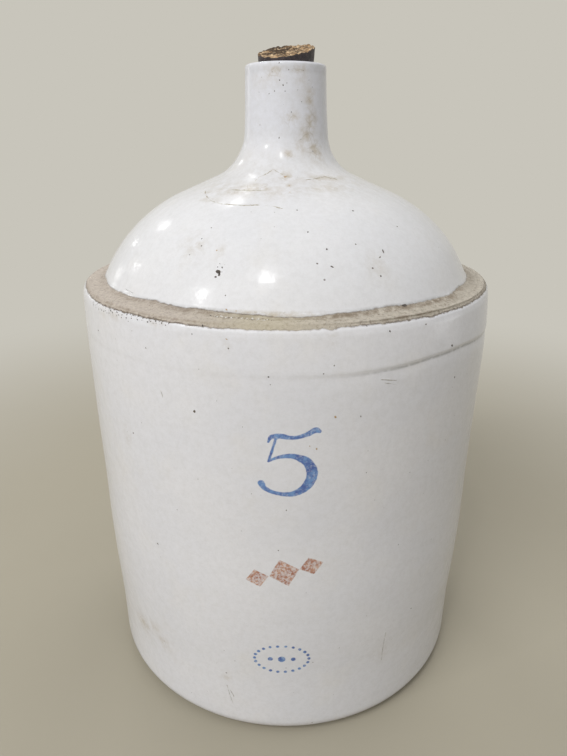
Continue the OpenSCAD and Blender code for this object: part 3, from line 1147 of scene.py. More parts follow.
def marks_tree() -> bpy.types.NodeTree:
    """Tree that lays a flat, uneven speck on each point.

    Returns:
        The tree.
    """
    t = NodesTree("Specks in the glaze", {"Thickness share": 0.16, "Unevenness": 0.35, "Size share": 0.75,
                                          "Seed": 3})
    s = t.start
    ball = t.add("GeometryNodeMeshIcoSphere", {"Radius": s["Size share"], "Subdivisions": 2})
    facing = {"Vector": t.named("facing", "FLOAT_VECTOR")}
    align = t.add("FunctionNodeAlignRotationToVector", facing, axis="Z")
    spin = t.add("FunctionNodeRandomValue", {3: math.tau, "Seed": s["Seed"]}, data_type="FLOAT")
    turned = {0: align.outputs[0], 1: t.combine(z=spin.outputs[1])}
    rotate = t.add("FunctionNodeRotateRotation", turned, rotation_space="LOCAL")
    size = t.named("size")
    scale = t.combine(size, t.times(size, t.named("narrow")), t.times(size, s["Thickness share"]))
    lay = t.add("GeometryNodeInstanceOnPoints", {"Points": s["Geometry"], "Instance": ball.outputs[0],
                                                 "Rotation": rotate.outputs[0], "Scale": scale})
    real = t.add("GeometryNodeRealizeInstances", {0: lay.outputs[0]})
    push = t.vector("SUBTRACT", t.seeded(t.here(), 900.0)["Color"], (0.5, 0.5, 0.5))
    push = t.scaled(push, t.times(s["Unevenness"], MM))
    shape = t.add("GeometryNodeSetPosition", {"Geometry": real.outputs[0], "Offset": push})
    t.finish(shape.outputs[0])
    return t.tree


def hairline_tree() -> bpy.types.NodeTree:
    """Tree that lays a thin tube along each line.

    Returns:
        The tree.
    """
    t = NodesTree("Lines in the glaze", {"Radius": 0.0003, "Gap": 0.0012, "Seed": 5})
    s = t.start
    curve = t.add("GeometryNodeMeshToCurve", {0: s["Geometry"]}).outputs[0]
    even = t.add("GeometryNodeResampleCurve", mode="LENGTH")
    t.fill(even, {"Curve": curve, "Length": s["Gap"]})
    width = t.step(t.seeded(t.here(), 200.0)["Fac"], 0.30, 0.70, 0.25, 1.35)
    thin = t.add("GeometryNodeSetCurveRadius", {"Curve": even.outputs[0], "Radius": width})
    ring = t.add("GeometryNodeCurvePrimitiveCircle", {"Resolution": 6, "Radius": s["Radius"]})
    tube = t.add("GeometryNodeCurveToMesh", {"Curve": thin.outputs[0], "Profile Curve": ring.outputs[0],
                                             "Fill Caps": True})
    if "Scale" in tube.inputs:
        t.fill(tube, {"Scale": t.add("GeometryNodeInputRadius").outputs[0]})
    t.finish(tube.outputs[0])
    return t.tree


def grown(name: str, mesh: bpy.types.Mesh, tree: bpy.types.NodeTree,
          values: dict[str, object]) -> bpy.types.Mesh:
    """The plain mesh that a Geometry Nodes tree makes from a starting mesh.

    Args:
        name: Name of the new mesh.
        mesh: What goes in.
        tree: The tree.
        values: The tree's inputs by name.

    Returns:
        A new mesh, with the helper object and its modifier gone.
    """
    helper = bpy.data.objects.new(name + " helper", mesh)
    bpy.context.scene.collection.objects.link(helper)
    modifier = helper.modifiers.new(tree.name, "NODES")
    modifier.node_group = tree
    for item in tree.interface.items_tree:
        if getattr(item, "in_out", "") == "INPUT" and item.name in values:
            modifier[item.identifier] = values[item.name]
    graph = bpy.context.evaluated_depsgraph_get()
    made = bpy.data.meshes.new_from_object(helper.evaluated_get(graph), preserve_all_data_layers=True,
                                           depsgraph=graph)
    made.name = name
    helper.modifiers.clear()
    bpy.data.objects.remove(helper)
    bpy.data.meshes.remove(mesh)
    return made


def new_mesh(name: str, points: list, edges: list, faces: list | tuple = ()) -> bpy.types.Mesh:
    """A mesh of points given in millimetres.

    Args:
        name: The mesh's name.
        points: Rows of x, y and z.
        edges: Pairs of point numbers.
        faces: Loops of point numbers.

    Returns:
        The mesh.
    """
    mesh = bpy.data.meshes.new(name)
    mesh.from_pydata([(x * MM, y * MM, z * MM) for x, y, z in points], edges, faces)
    return mesh


def line_mesh(name: str, points: list[tuple[float, float, float]]) -> bpy.types.Mesh:
    """A mesh of one line of points, given in millimetres."""
    return new_mesh(name, points, [(i, i + 1) for i in range(len(points) - 1)])


def place_piece(name: str, mesh: bpy.types.Mesh, body: Body,
                stands_for: tuple[str, ...] = ()) -> bpy.types.Object:
    """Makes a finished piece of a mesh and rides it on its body.

    Args:
        name: The piece's name.
        mesh: Its mesh, in place.
        body: Body that it rides on.
        stands_for: Solids that it replaces.

    Returns:
        The piece's object.
    """
    piece = bpy.data.objects.new(name, mesh)
    bpy.context.scene.collection.objects.link(piece)
    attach(piece, body.value)
    if stands_for:
        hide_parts(*stands_for)
    LOG.info("%s: %d vertices on %s", name, len(mesh.vertices), body.value)
    return piece


# Painted marks

@dataclass(frozen=True)
class BrushStroke:
    """A brush stroke as points (across, up, half width) in millimetres from the mark's centre."""
    points: tuple[tuple[float, float, float], ...]
    steps: int = 10

    def beads(self) -> np.ndarray:
        """The stroke as close beads on a smooth curve through its points.

        Returns:
            Rows of across, up and half width.
        """
        keys = np.array(self.points)
        padded = np.vstack([2.0 * keys[0] - keys[1], keys, 2.0 * keys[-1] - keys[-2]])
        out = []
        for i in range(1, len(padded) - 2):
            before, a, b, after = padded[i - 1:i + 3]
            for j in range(self.steps):
                u = j / self.steps
                out.append(0.5 * (2.0 * a + (b - before) * u
                                  + (2.0 * before - 5.0 * a + 4.0 * b - after) * u ** 2
                                  + (3.0 * a - before - 3.0 * b + after) * u ** 3))
        return np.array(out + [keys[-1]])


@dataclass(frozen=True)
class PaintedMark:
    """A mark painted on the wall: strokes, or lozenges (across, up, half width, half height)."""
    azimuth: float
    height: float
    strokes: tuple[BrushStroke, ...] = ()
    lozenges: tuple[tuple[float, float, float, float], ...] = ()
    turn: float = 0.0
    wall_r: float = 148.0

    def distance(self, across: np.ndarray, up: np.ndarray) -> np.ndarray:
        """How far each point lies inside the mark, in millimetres.

        Args:
            across: Place to the right of the jug's front line, along the wall.
            up: Height above the table.

        Returns:
            Distances, below 0 outside the mark.
        """
        a = math.radians(self.turn)
        x0 = across - math.radians(self.azimuth) * self.wall_r
        y0 = up - self.height
        x = x0 * math.cos(a) + y0 * math.sin(a)
        y = y0 * math.cos(a) - x0 * math.sin(a)
        best = np.full(len(x), UNPAINTED)
        for stroke in self.strokes:
            beads = stroke.beads()
            for start, end in zip(beads, beads[1:]):
                leg = end[:2] - start[:2]
                share = ((x - start[0]) * leg[0] + (y - start[1]) * leg[1]) / max(leg @ leg, 1e-9)
                share = np.clip(share, 0.0, 1.0)
                gap = np.hypot(x - start[0] - share * leg[0], y - start[1] - share * leg[1])
                best = np.maximum(best, start[2] + share * (end[2] - start[2]) - gap)
        for cx, cy, half_w, half_h in self.lozenges:
            inside = 1.0 - np.abs(x - cx) / half_w - np.abs(y - cy) / half_h
            best = np.maximum(best, inside / math.hypot(1.0 / half_w, 1.0 / half_h))
        return best


def numeral(widen: float = 1.14, raise_by: float = 1.08) -> PaintedMark:
    """A brush-drawn capacity numeral 5.

    Args:
        widen: How much wider it is than its drawing.
        raise_by: How much taller it is than its drawing.

    Returns:
        The mark.
    """
    flag = ((-9.5, 14.5, 0.7), (-8.0, 17.6, 1.3), (-3.5, 18.2, 1.7), (3.0, 17.2, 1.3), (9.0, 18.6, 1.5),
            (14.0, 21.4, 1.9), (16.4, 20.6, 1.2))
    stem = ((-5.5, 17.2, 0.8), (-7.0, 11.5, 0.8), (-8.6, 5.6, 0.9), (-9.6, 2.6, 0.7))
    bowl = ((-9.6, 2.6, 0.7), (-4.0, 5.4, 1.2), (3.2, 5.9, 1.9), (10.2, 2.2, 2.9), (13.0, -5.0, 3.5),
            (10.4, -12.8, 3.0), (3.4, -17.8, 2.0), (-5.0, -17.6, 1.4), (-11.5, -14.6, 1.6),
            (-13.4, -11.4, 2.3))
    drawn = [tuple((x * widen, y * raise_by, w) for x, y, w in points) for points in (flag, stem, bowl)]
    return PaintedMark(0.0, 226.5, tuple(BrushStroke(points) for points in drawn))


def lozenge_row() -> PaintedMark:
    """Three plain lozenges in a row."""
    lozenges = ((-18.0, 0.0, 8.0, 7.0), (0.0, 0.0, 10.0, 11.0), (18.0, 0.0, 8.0, 7.0))
    return PaintedMark(-0.6, 148.0, lozenges=lozenges, turn=16.0)


def dot_ring(count: int = 22) -> PaintedMark:
    """A plain oval ring of dots round three larger dots.

    Args:
        count: Number of dots in the ring.

    Returns:
        The mark.
    """
    turns = [math.tau * i / count for i in range(count)]
    dots = [(19.0 * math.cos(a), 12.2 * math.sin(a), 1.3) for a in turns]
    dots += [(-8.0, 0.0, 1.9), (0.0, 0.0, 2.7), (8.0, 0.0, 1.9)]
    return PaintedMark(-1.2, 73.2, tuple(BrushStroke(((x, y, w), (x + 0.05, y, w)), 1) for x, y, w in dots))


# Sub-assemblies

@dataclass
class Stonework:
    """What the clay pieces share: the form, the handwork and the columns of their meshes."""
    form: JugForm = field(default_factory=JugForm)
    handwork: Handwork = field(default_factory=Handwork)
    front_columns: int = 72
    back_columns: int = 200
    front_half_angle: float = 11.5
    waver: float = 0.22
    waver_scale: float = 14.0
    seed: int = 7

    def throw(self, name: str, section: Section, finish: bpy.types.Material) -> bpy.types.Mesh:
        """Throws a section into a mesh, through the Geometry Nodes tree.

        Args:
            name: The mesh's name.
            section: Points of the section, and for each 0 outside or 1 inside.
            finish: Its material.

        Returns:
            The perfect form with its slow waver, before the handwork.
        """
        points, inside = section
        line = line_mesh(name + " section", [(r, 0.0, z) for r, z in points])
        store(line, inside=np.array(inside))
        return grown(name, line, thrown_tree(), {
            "Front columns": self.front_columns, "Back columns": self.back_columns,
            "Front half angle": self.front_half_angle, "Waver": self.waver * MM,
            "Waver scale": self.waver_scale, "Seed": self.seed, "Finish": finish})

    def settle(self, mesh: bpy.types.Mesh, points: np.ndarray, sharp_angle: float = 40.0) -> np.ndarray:
        """Gives a mesh the handwork and finishes its shell.

        Args:
            mesh: The mesh.
            points: Its points on the perfect jug, in millimetres.
            sharp_angle: Angle in degrees above which an edge stays hard.

        Returns:
            The points after the handwork.
        """
        moved = self.handwork.apply(points, self.form)
        set_coordinates(mesh, moved)
        tidy_shell(mesh, sharp_angle)
        return moved


@dataclass
class Crock:
    """The big cylinder: foot, wall, band, ledge and the painted marks on its front."""
    stone: Stonework
    glaze_foot: float = 3.6
    widest: float = 149.92
    crease_over: float = 1.1
    crease_under: float = 4.5
    roll_from: float = 284.0
    roll_tall: float = 23.0
    ridge_rise: float = 0.24
    ridge_wide: float = 0.9
    ridge_drop: float = 1.3
    # Ranges of height in which the mesh is fine enough for marks, crease and band
    fine: Points = ((56.0, 94.0), (124.0, 172.0), (202.0, 254.0), (262.0, 304.0))
    # Height and radius of the wall's outline on the left and on the right
    left_outline: Points = ((0.0, 144.9), (40.0, 145.1), (64.0, 146.0), (94.0, 147.5), (125.0, 148.4),
                            (165.0, 148.5), (208.0, 149.4), (250.0, 149.7), (320.0, 149.85))
    right_outline: Points = ((0.0, 144.7), (56.0, 145.1), (84.0, 147.0), (122.0, 148.3), (173.0, 148.0),
                             (214.0, 148.8), (263.0, 149.85), (320.0, 149.85))
    # Round the jug: the crease's height and depth, the dirt and painted shade in it under the band,
    # and how far the band rolls in
    crease_height: Points = ((-150.0, 280.0), (-60.0, 280.5), (0.0, 281.2), (13.5, 281.8), (27.0, 283.2),
                             (34.0, 284.6), (48.0, 284.9), (62.0, 282.4), (90.0, 278.0))
    crease_depth: Points = ((-150.0, 0.1), (-20.0, 0.05), (0.0, 0.12), (13.5, 0.30), (27.0, 0.55),
                            (48.0, 0.75), (90.0, 0.70), (130.0, 0.3))
    crease_grime: Points = ((-60.0, 0.0), (8.0, 0.0), (13.5, 0.15), (19.0, 0.35), (27.0, 0.65), (55.0, 0.75),
                            (90.0, 0.5), (130.0, 0.1))
    roll_in: Points = ((-150.0, 0.6), (-60.0, 0.5), (-20.0, 1.3), (0.0, 1.9), (15.0, 2.6), (30.0, 3.1),
                       (60.0, 2.4), (90.0, 0.7))
    # Round the jug: height at which the glaze ends on the rim, and how dark its edge is
    rim_glaze: Points = ((-150.0, 309.2), (-84.0, 310.2), (-66.0, 310.1), (-59.0, 309.0), (-52.0, 308.6),
                         (-40.0, 309.2), (-14.0, 308.5), (5.0, 308.5), (8.0, 309.0), (9.5, 308.1),
                         (11.5, 309.1), (33.0, 309.2), (35.0, 308.5), (37.5, 309.1), (70.0, 309.2))
    toast: Points = ((-150.0, 0.6), (-66.0, 0.6), (-55.0, 0.95), (-40.0, 1.0), (-22.0, 0.95), (-10.0, 0.3),
                     (8.0, 0.25), (18.0, 0.7), (30.0, 0.9), (70.0, 0.95), (100.0, 0.6))

    def build(self, finish: bpy.types.Material) -> bpy.types.Object:
        """Builds the crock and paints it.

        Args:
            finish: The crock's glaze.

        Returns:
            The finished piece.
        """
        form = self.stone.form
        mesh = self.stone.throw("crock", form.crock_section(self.fine), finish)
        outside = is_outside(mesh)
        points = self.shape_wall(coordinates(mesh), form, outside)
        self.paint(mesh, points, outside)
        points = self.stone.handwork.apply(rub_ledge(points, form), form)
        r, _, _ = polar(points)
        points[:, :2] *= (np.minimum(r, self.widest) / np.maximum(r, 1.0))[:, None]
        set_coordinates(mesh, points)
        tidy_shell(mesh)
        return place_piece("crock", mesh, Body.JUG, ("crock_body",))

    def shape_wall(self, points: np.ndarray, form: JugForm, outside: np.ndarray) -> np.ndarray:
        """Gives the wall its uneven outline, the rolled band, the crease under it and the glaze's ridge.

        Args:
            points: Points of the thrown crock.
            form: The jug.
            outside: Which points are outside.

        Returns:
            The changed points.
        """
        out = points.copy()
        r, azimuth, z = polar(points)
        right = 0.5 + 0.5 * np.sin(np.radians(azimuth))
        line = (1.0 - right) * eased(self.left_outline, z) + right * eased(self.right_outline, z)
        below = round_the_jug(self.crease_height, azimuth) - z
        groove = np.exp(-(below / np.where(below < 0.0, self.crease_over, self.crease_under)) ** 2)
        line -= round_the_jug(self.crease_depth, azimuth) * groove
        rolled = np.clip((z - self.roll_from) / self.roll_tall, 0.0, 1.1)
        line -= round_the_jug(self.roll_in, azimuth) * rolled ** 1.3
        ridge = z - round_the_jug(self.rim_glaze, azimuth) + self.ridge_drop
        line += self.ridge_rise * np.exp(-(ridge / self.ridge_wide) ** 2)
        base = np.where(z > form.heel_r + 0.01, form.crock_r, form.foot_r)
        share = np.where(z > form.roll_z, smooth(r, 143.5, 148.5), smooth(z, 0.0, form.heel_r))
        wall = outside & (r > form.foot_r - form.heel_r - 1.0)
        out[:, :2] *= (1.0 + np.where(wall, (line - base) * share, 0.0) / np.maximum(r, 1.0))[:, None]
        return out

    def paint(self, mesh: bpy.types.Mesh, points: np.ndarray, outside: np.ndarray) -> None:
        """Stores where clay is bare, where the glaze's edge is toasted and where marks are painted.

        Args:
            mesh: The crock's mesh.
            points: Its points before the handwork.
            outside: Which points are outside.
        """
        form = self.stone.form
        r, azimuth, z = polar(points)
        on_rim = z > 200.0
        ledge = np.minimum(z - round_the_jug(self.rim_glaze, azimuth), r - glaze_toe(azimuth, form))
        foot = self.glaze_foot + 0.8 * np.sin(np.radians(azimuth * 3.0)) - z
        bare = np.where(outside, np.where(on_rim, ledge, foot), GLAZED)
        toast = round_the_jug(self.toast, azimuth)
        across = np.radians(azimuth) * form.foot_r * 1.02
        front = outside & (np.abs(azimuth) < 14.0) & (z > 40.0) & (z < 270.0)
        five, lozenges, ring = (mark.distance(across[front], z[front])
                                for mark in (numeral(), lozenge_row(), dot_ring()))
        blue, red = np.full((2, len(z)), UNPAINTED)
        blue[front] = np.maximum(five, ring)
        red[front] = lozenges
        stain = np.maximum(cream(azimuth) * (z > form.crock_h - 2.6), stains(points))
        # Dark line along the crease under the band: painted shade, with dirt
        line = (z - round_the_jug(self.crease_height, azimuth) + 0.5) / 0.65
        crease = np.exp(-line ** 2) * round_the_jug(self.crease_grime, azimuth)
        edge = np.exp(-((z - 310.6) / 0.7) ** 2) * toast * 0.6
        smudge = 0.85 * bell(angle_gap(azimuth, 30.0) / 8.0) * np.exp(-((z - 311.2) / 1.5) ** 2)
        edge = np.maximum(edge, smudge * smooth(r, 141.0, 144.5))
        inner = 0.45 * smooth(-r, -143.5, -139.0) * smooth(azimuth, 4.0, 16.0) * (z > form.crock_h)
        store(mesh, bare=np.clip(bare, GLAZED, BAREST), cobalt=blue, russet=red,
              toast=np.where(on_rim, toast, 0.55) * outside, stain=stain * outside,
              grime=np.maximum(np.maximum(crease, edge), inner) * outside)


def cream(azimuth: np.ndarray) -> np.ndarray:
    """Strength of the cream stain that lies across the ledge at the front."""
    return 0.8 * bell(angle_gap(azimuth, -5.0) / 8.0)


def glaze_toe(azimuth: np.ndarray, form: JugForm) -> np.ndarray:
    """Radius to which the dome's glaze runs down on the ledge, round the jug.

    Args:
        azimuth: Azimuths in degrees.
        form: The jug.

    Returns:
        Radii in millimetres.
    """
    toe = np.full(len(azimuth), form.dome_base_r + 0.3)
    for centre, spread, reach in ((-1.0, 9.0, 3.4), (-47.0, 5.0, 0.9), (51.0, 4.0, 0.8)):
        toe += reach * bell(angle_gap(azimuth, centre) / spread)
    return toe + 0.45 * np.sin(np.radians(azimuth * 11.0)) + 0.3 * np.sin(np.radians(azimuth * 23.0 + 40.0))


def rub_ledge(points: np.ndarray, form: JugForm) -> np.ndarray:
    """Wears the ledge into a shallow, uneven channel, the same on crock and flange.

    Args:
        points: Points in millimetres.
        form: The jug.

    Returns:
        The changed points.
    """
    out = points.copy()
    r, _, height = polar(points)
    top = (height > form.crock_h - 0.6) & (r > form.dome_base_r - 0.01)
    bow = np.sin(np.clip((form.crock_r - 3.0 - r) / (form.ledge_w - 3.0), 0.0, 1.0) * math.pi)
    for i in np.flatnonzero(top):
        x, y, _ = points[i]
        wave = noise.noise(Vector((x, y, 0.0)) * 0.09) * 0.35 + noise.noise(Vector((x, y, 9.0)) * 0.35) * 0.16
        out[i, 2] += bow[i] * (wave - 0.7)
    return out


@dataclass
class Dome:
    """The luted dome that closes the crock, with the inner part of the ledge."""
    stone: Stonework
    pull: float = 1.5
    pull_azimuth: float = 70.0
    pull_wide: float = 14.0
    toe_rise: float = 0.35
    # Round the jug: how toasted the glaze's toe is, and how much soil lies along it
    toast: Points = ((-150.0, 0.5), (-60.0, 0.35), (-24.0, 0.7), (-8.0, 0.75), (6.0, 0.5), (30.0, 0.4),
                     (90.0, 0.5))
    soil: Points = ((-150.0, 0.4), (-60.0, 0.35), (-30.0, 0.5), (-20.0, 0.8), (-4.0, 0.7), (14.0, 0.95),
                    (45.0, 0.9), (60.0, 0.5))

    def build(self, finish: bpy.types.Material) -> bpy.types.Object:
        """Builds the dome.

        Args:
            finish: The top's glaze.

        Returns:
            The finished piece.
        """
        form = self.stone.form
        mesh = self.stone.throw("dome", form.dome_section(), finish)
        points = coordinates(mesh)
        r, azimuth, z = polar(points)
        outside = is_outside(mesh)
        toe = glaze_toe(azimuth, form)
        base_z = form.ledge_z(form.dome_base_r)
        on_ledge = z < base_z + 0.02
        climb = np.where(z > base_z + 0.02, form.dome_base_r - (z - base_z), r)
        soil = round_the_jug(self.soil, azimuth) * bell((r - toe - 1.8) / 1.9) * on_ledge
        store(mesh, bare=np.clip(np.where(outside, climb - toe, GLAZED), GLAZED, BAREST),
              cobalt=UNPAINTED, russet=UNPAINTED, toast=round_the_jug(self.toast, azimuth) * outside,
              stain=np.maximum(cream(azimuth) * on_ledge, stains(points)) * outside, grime=soil * outside)
        points = rub_ledge(points, form)
        ridge = self.toe_rise * np.exp(-((climb - toe + 1.1) / 0.9) ** 2)
        points[:, 2] += ridge * outside * (z > form.crock_h)
        pull = self.pull * bell(angle_gap(azimuth, self.pull_azimuth) / self.pull_wide) * outside
        pull *= smooth(r, 118.0, 132.0) * (1.0 - smooth(r, 134.0, 139.5))
        points[:, :2] *= (1.0 - pull / np.maximum(r, 1.0))[:, None]
        self.stone.settle(mesh, points)
        return place_piece("dome", mesh, Body.JUG, ("shoulder_dome",))


@dataclass
class Neck:
    """The neck with its lip, luted into the dome."""
    stone: Stonework
    # Painted shadow line under the lip's roll: its strength, and how far below the top it lies
    lip_grime: float = 0.62
    lip_grime_drop: float = 4.3

    def build(self, finish: bpy.types.Material) -> bpy.types.Object:
        """Builds the neck.

        Args:
            finish: The top's glaze.

        Returns:
            The finished piece.
        """
        form = self.stone.form
        mesh = self.stone.throw("neck", form.neck_section(), finish)
        points = coordinates(mesh)
        outside = is_outside(mesh)
        # Painted shadow line under the lip's roll
        lip = self.lip_grime * np.exp(-((points[:, 2] - form.jug_h + self.lip_grime_drop) / 0.9) ** 2)
        store(mesh, bare=GLAZED, toast=0.0, cobalt=UNPAINTED, russet=UNPAINTED,
              stain=stains(points) * outside, grime=lip * outside)
        self.stone.settle(mesh, points)
        return place_piece("jug_neck", mesh, Body.JUG, ("neck",))


# Stains: azimuth, radius or height, spread across and along in millimetres, strength.
# The first list is laid straight down on the dome, the second level on neck and wall.
DOME_STAINS = [
    (-18.0, 61.0, 9.0, 4.0, 0.85), (-1.0, 47.0, 3.0, 3.4, 1.0), (-34.0, 66.0, 9.0, 4.5, 0.50),
    (-8.0, 66.0, 16.0, 6.0, 0.35), (-40.0, 78.0, 7.0, 2.5, 0.40), (-30.0, 112.0, 6.0, 5.0, 0.30),
    (-29.0, 111.0, 3.0, 2.5, 0.45), (-20.6, 113.5, 1.6, 2.5, 0.50), (-50.0, 69.0, 4.0, 2.2, 0.55),
    (1.4, 58.0, 1.8, 1.8, 0.8), (30.0, 49.0, 16.0, 3.0, 0.55), (24.0, 61.0, 14.0, 4.0, 0.45),
    (1.7, 65.4, 1.6, 1.4, 0.6), (26.0, 120.0, 5.0, 4.0, 0.25), (8.0, 49.0, 40.0, 11.0, 0.20),
    (-45.0, 60.0, 40.0, 10.0, 0.22), (40.0, 58.0, 40.0, 9.0, 0.22), (150.0, 60.0, 30.0, 8.0, 0.30),
    (-120.0, 66.0, 26.0, 6.0, 0.25),
]
LEVEL_STAINS = [
    (-16.0, 446.0, 4.2, 2.2, 0.95), (17.0, 447.4, 3.4, 1.8, 0.75), (34.0, 430.0, 2.6, 5.0, 0.75),
    (35.0, 416.0, 3.2, 6.0, 0.85), (29.0, 408.0, 4.5, 5.0, 0.70), (6.3, 417.1, 4.2, 3.2, 0.70),
    (38.0, 399.0, 6.0, 6.0, 0.70), (2.8, 396.0, 2.6, 2.0, 0.80), (20.0, 401.0, 5.0, 4.0, 0.45),
    (-30.0, 441.0, 8.0, 4.0, 0.25), (160.0, 410.0, 20.0, 12.0, 0.2), (-44.1, 226.4, 1.4, 5.0, 0.60),
    (-49.0, 57.0, 6.0, 5.0, 0.60), (-43.0, 63.0, 5.0, 4.0, 0.35), (-38.5, 55.0, 4.5, 4.0, 0.50),
    (28.6, 62.0, 5.0, 7.0, 0.15), (9.5, 303.0, 2.0, 3.0, 0.30), (-17.0, 49.0, 2.0, 2.5, 0.45),
    (-45.0, 305.5, 5.0, 2.2, 0.32), (-30.0, 307.3, 4.0, 1.6, 0.35), (-51.0, 304.0, 4.0, 2.6, 0.22),
    (-12.6, 298.6, 1.0, 2.2, 0.75), (24.0, 440.0, 4.0, 8.0, 0.25), (-6.0, 447.5, 5.0, 1.2, 0.45),
]


def stains(points: np.ndarray) -> np.ndarray:
    """Strength of the tan stains at points of dome, neck and wall.

    Args:
        points: Points in millimetres.

    Returns:
        Shares from 0 to 1.
    """
    r, azimuth, z = polar(points)
    out = np.zeros(len(points))
    for table, along in ((DOME_STAINS, r), (LEVEL_STAINS, z)):
        for centre, place, wide, tall, strength in table:
            across = np.radians(angle_gap(azimuth, centre)) * r / wide
            out = np.maximum(out, strength * bell(np.hypot(across, (along - place) / tall)))
    return out


@dataclass
class Handle:
    """The pulled strap handle behind the neck, luted to neck and dome."""
    stone: Stonework
    form: HandleForm = field(default_factory=HandleForm)
    flare: float = 1.6
    flare_len: float = 3.6
    wipe: float = 4.2
    wipe_len: float = 2.6
    sides: int = 56
    corner_share: float = 0.72

    def build(self, finish: bpy.types.Material) -> bpy.types.Object:
        """Builds the handle.

        Args:
            finish: The top's glaze.

        Returns:
            The finished piece.
        """
        form = self.form
        stations = form.stations(self.stone.form)
        places = np.array([(y, z) for y, z, _ in stations])
        along = np.concatenate([[0.0], np.cumsum(np.hypot(*np.diff(places, axis=0).T))])
        near = np.maximum(np.minimum(along, along[-1] - along) - form.bury, 0.0)
        swell = np.where(near > form.root_len, 0.0, (1.0 - near / form.root_len) ** 2)
        foot = np.exp(-near / self.flare_len) * self.flare
        line = line_mesh("strap line", [(0.0, y, z) for y, z, _ in stations])
        store(line, wide=(form.width + form.root_w * swell + foot) * MM,
              thick=(form.thick + form.root_t * swell + foot) * MM,
              tilt=np.radians([a for _, _, a in stations]))
        mesh = grown("handle", line, strap_tree(), {
            "Sides": self.sides, "Corner share": self.corner_share, "Groove": form.groove * MM,
            "Finish": finish})
        self.close_ends(mesh)
        points = self.handmade(self.wipe_roots(coordinates(mesh), places))
        points = self.stone.settle(mesh, points, 60.0)
        ends = np.clip(points[:, 1] - 24.0, 0.0, 60.0)
        store(mesh, bare=GLAZED, toast=0.0, cobalt=UNPAINTED, russet=UNPAINTED,
              stain=0.35 * np.exp(-ends / 6.0))
        return place_piece("strap_handle", mesh, Body.JUG, ("handle",))

    def close_ends(self, mesh: bpy.types.Mesh) -> None:
        """Closes the strap's two open ends, which lie inside the walls.

        Args:
            mesh: The strap.
        """
        work = bmesh.new()
        work.from_mesh(mesh)
        bmesh.ops.holes_fill(work, edges=[e for e in work.edges if e.is_boundary], sides=0)
        work.to_mesh(mesh)
        work.free()

    def wipe_roots(self, points: np.ndarray, places: np.ndarray) -> np.ndarray:
        """Spreads the strap where it meets neck and dome, as its wet clay is wiped out on them.

        Args:
            points: Points in millimetres.
            places: Distance behind the axis and height of each station.

        Returns:
            The changed points.
        """
        form = self.stone.form
        x0, z0 = form.dome_centre
        out = points.copy()
        r, _, _ = polar(points)
        level = points * (1.0, 1.0, 0.0) / r[:, None]
        arm = level * (r - x0)[:, None]
        arm[:, 2] = points[:, 2] - z0
        above = np.linalg.norm(arm, axis=1)
        roots = ((r - form.neck_r, level, places[0]),
                 (above - form.dome_arc_r, arm / above[:, None], places[-1]))
        for gap, facing, (y, z) in roots:
            away = points - (0.0, y, z)
            away -= np.sum(away * facing, axis=1)[:, None] * facing
            away /= np.maximum(np.linalg.norm(away, axis=1), 1.0)[:, None]
            out += away * (self.wipe * np.exp(-np.maximum(gap, 0.0) / self.wipe_len))[:, None]
        return out

    def handmade(self, points: np.ndarray) -> np.ndarray:
        """Gives the strap the slow unevenness of a pulled handle.

        Args:
            points: Points in millimetres.

        Returns:
            The changed points.
        """
        shifts = [noise.noise_vector(Vector(point) * 0.035) for point in points]
        return points + np.array(shifts) * (0.56, 0.35, 0.35)


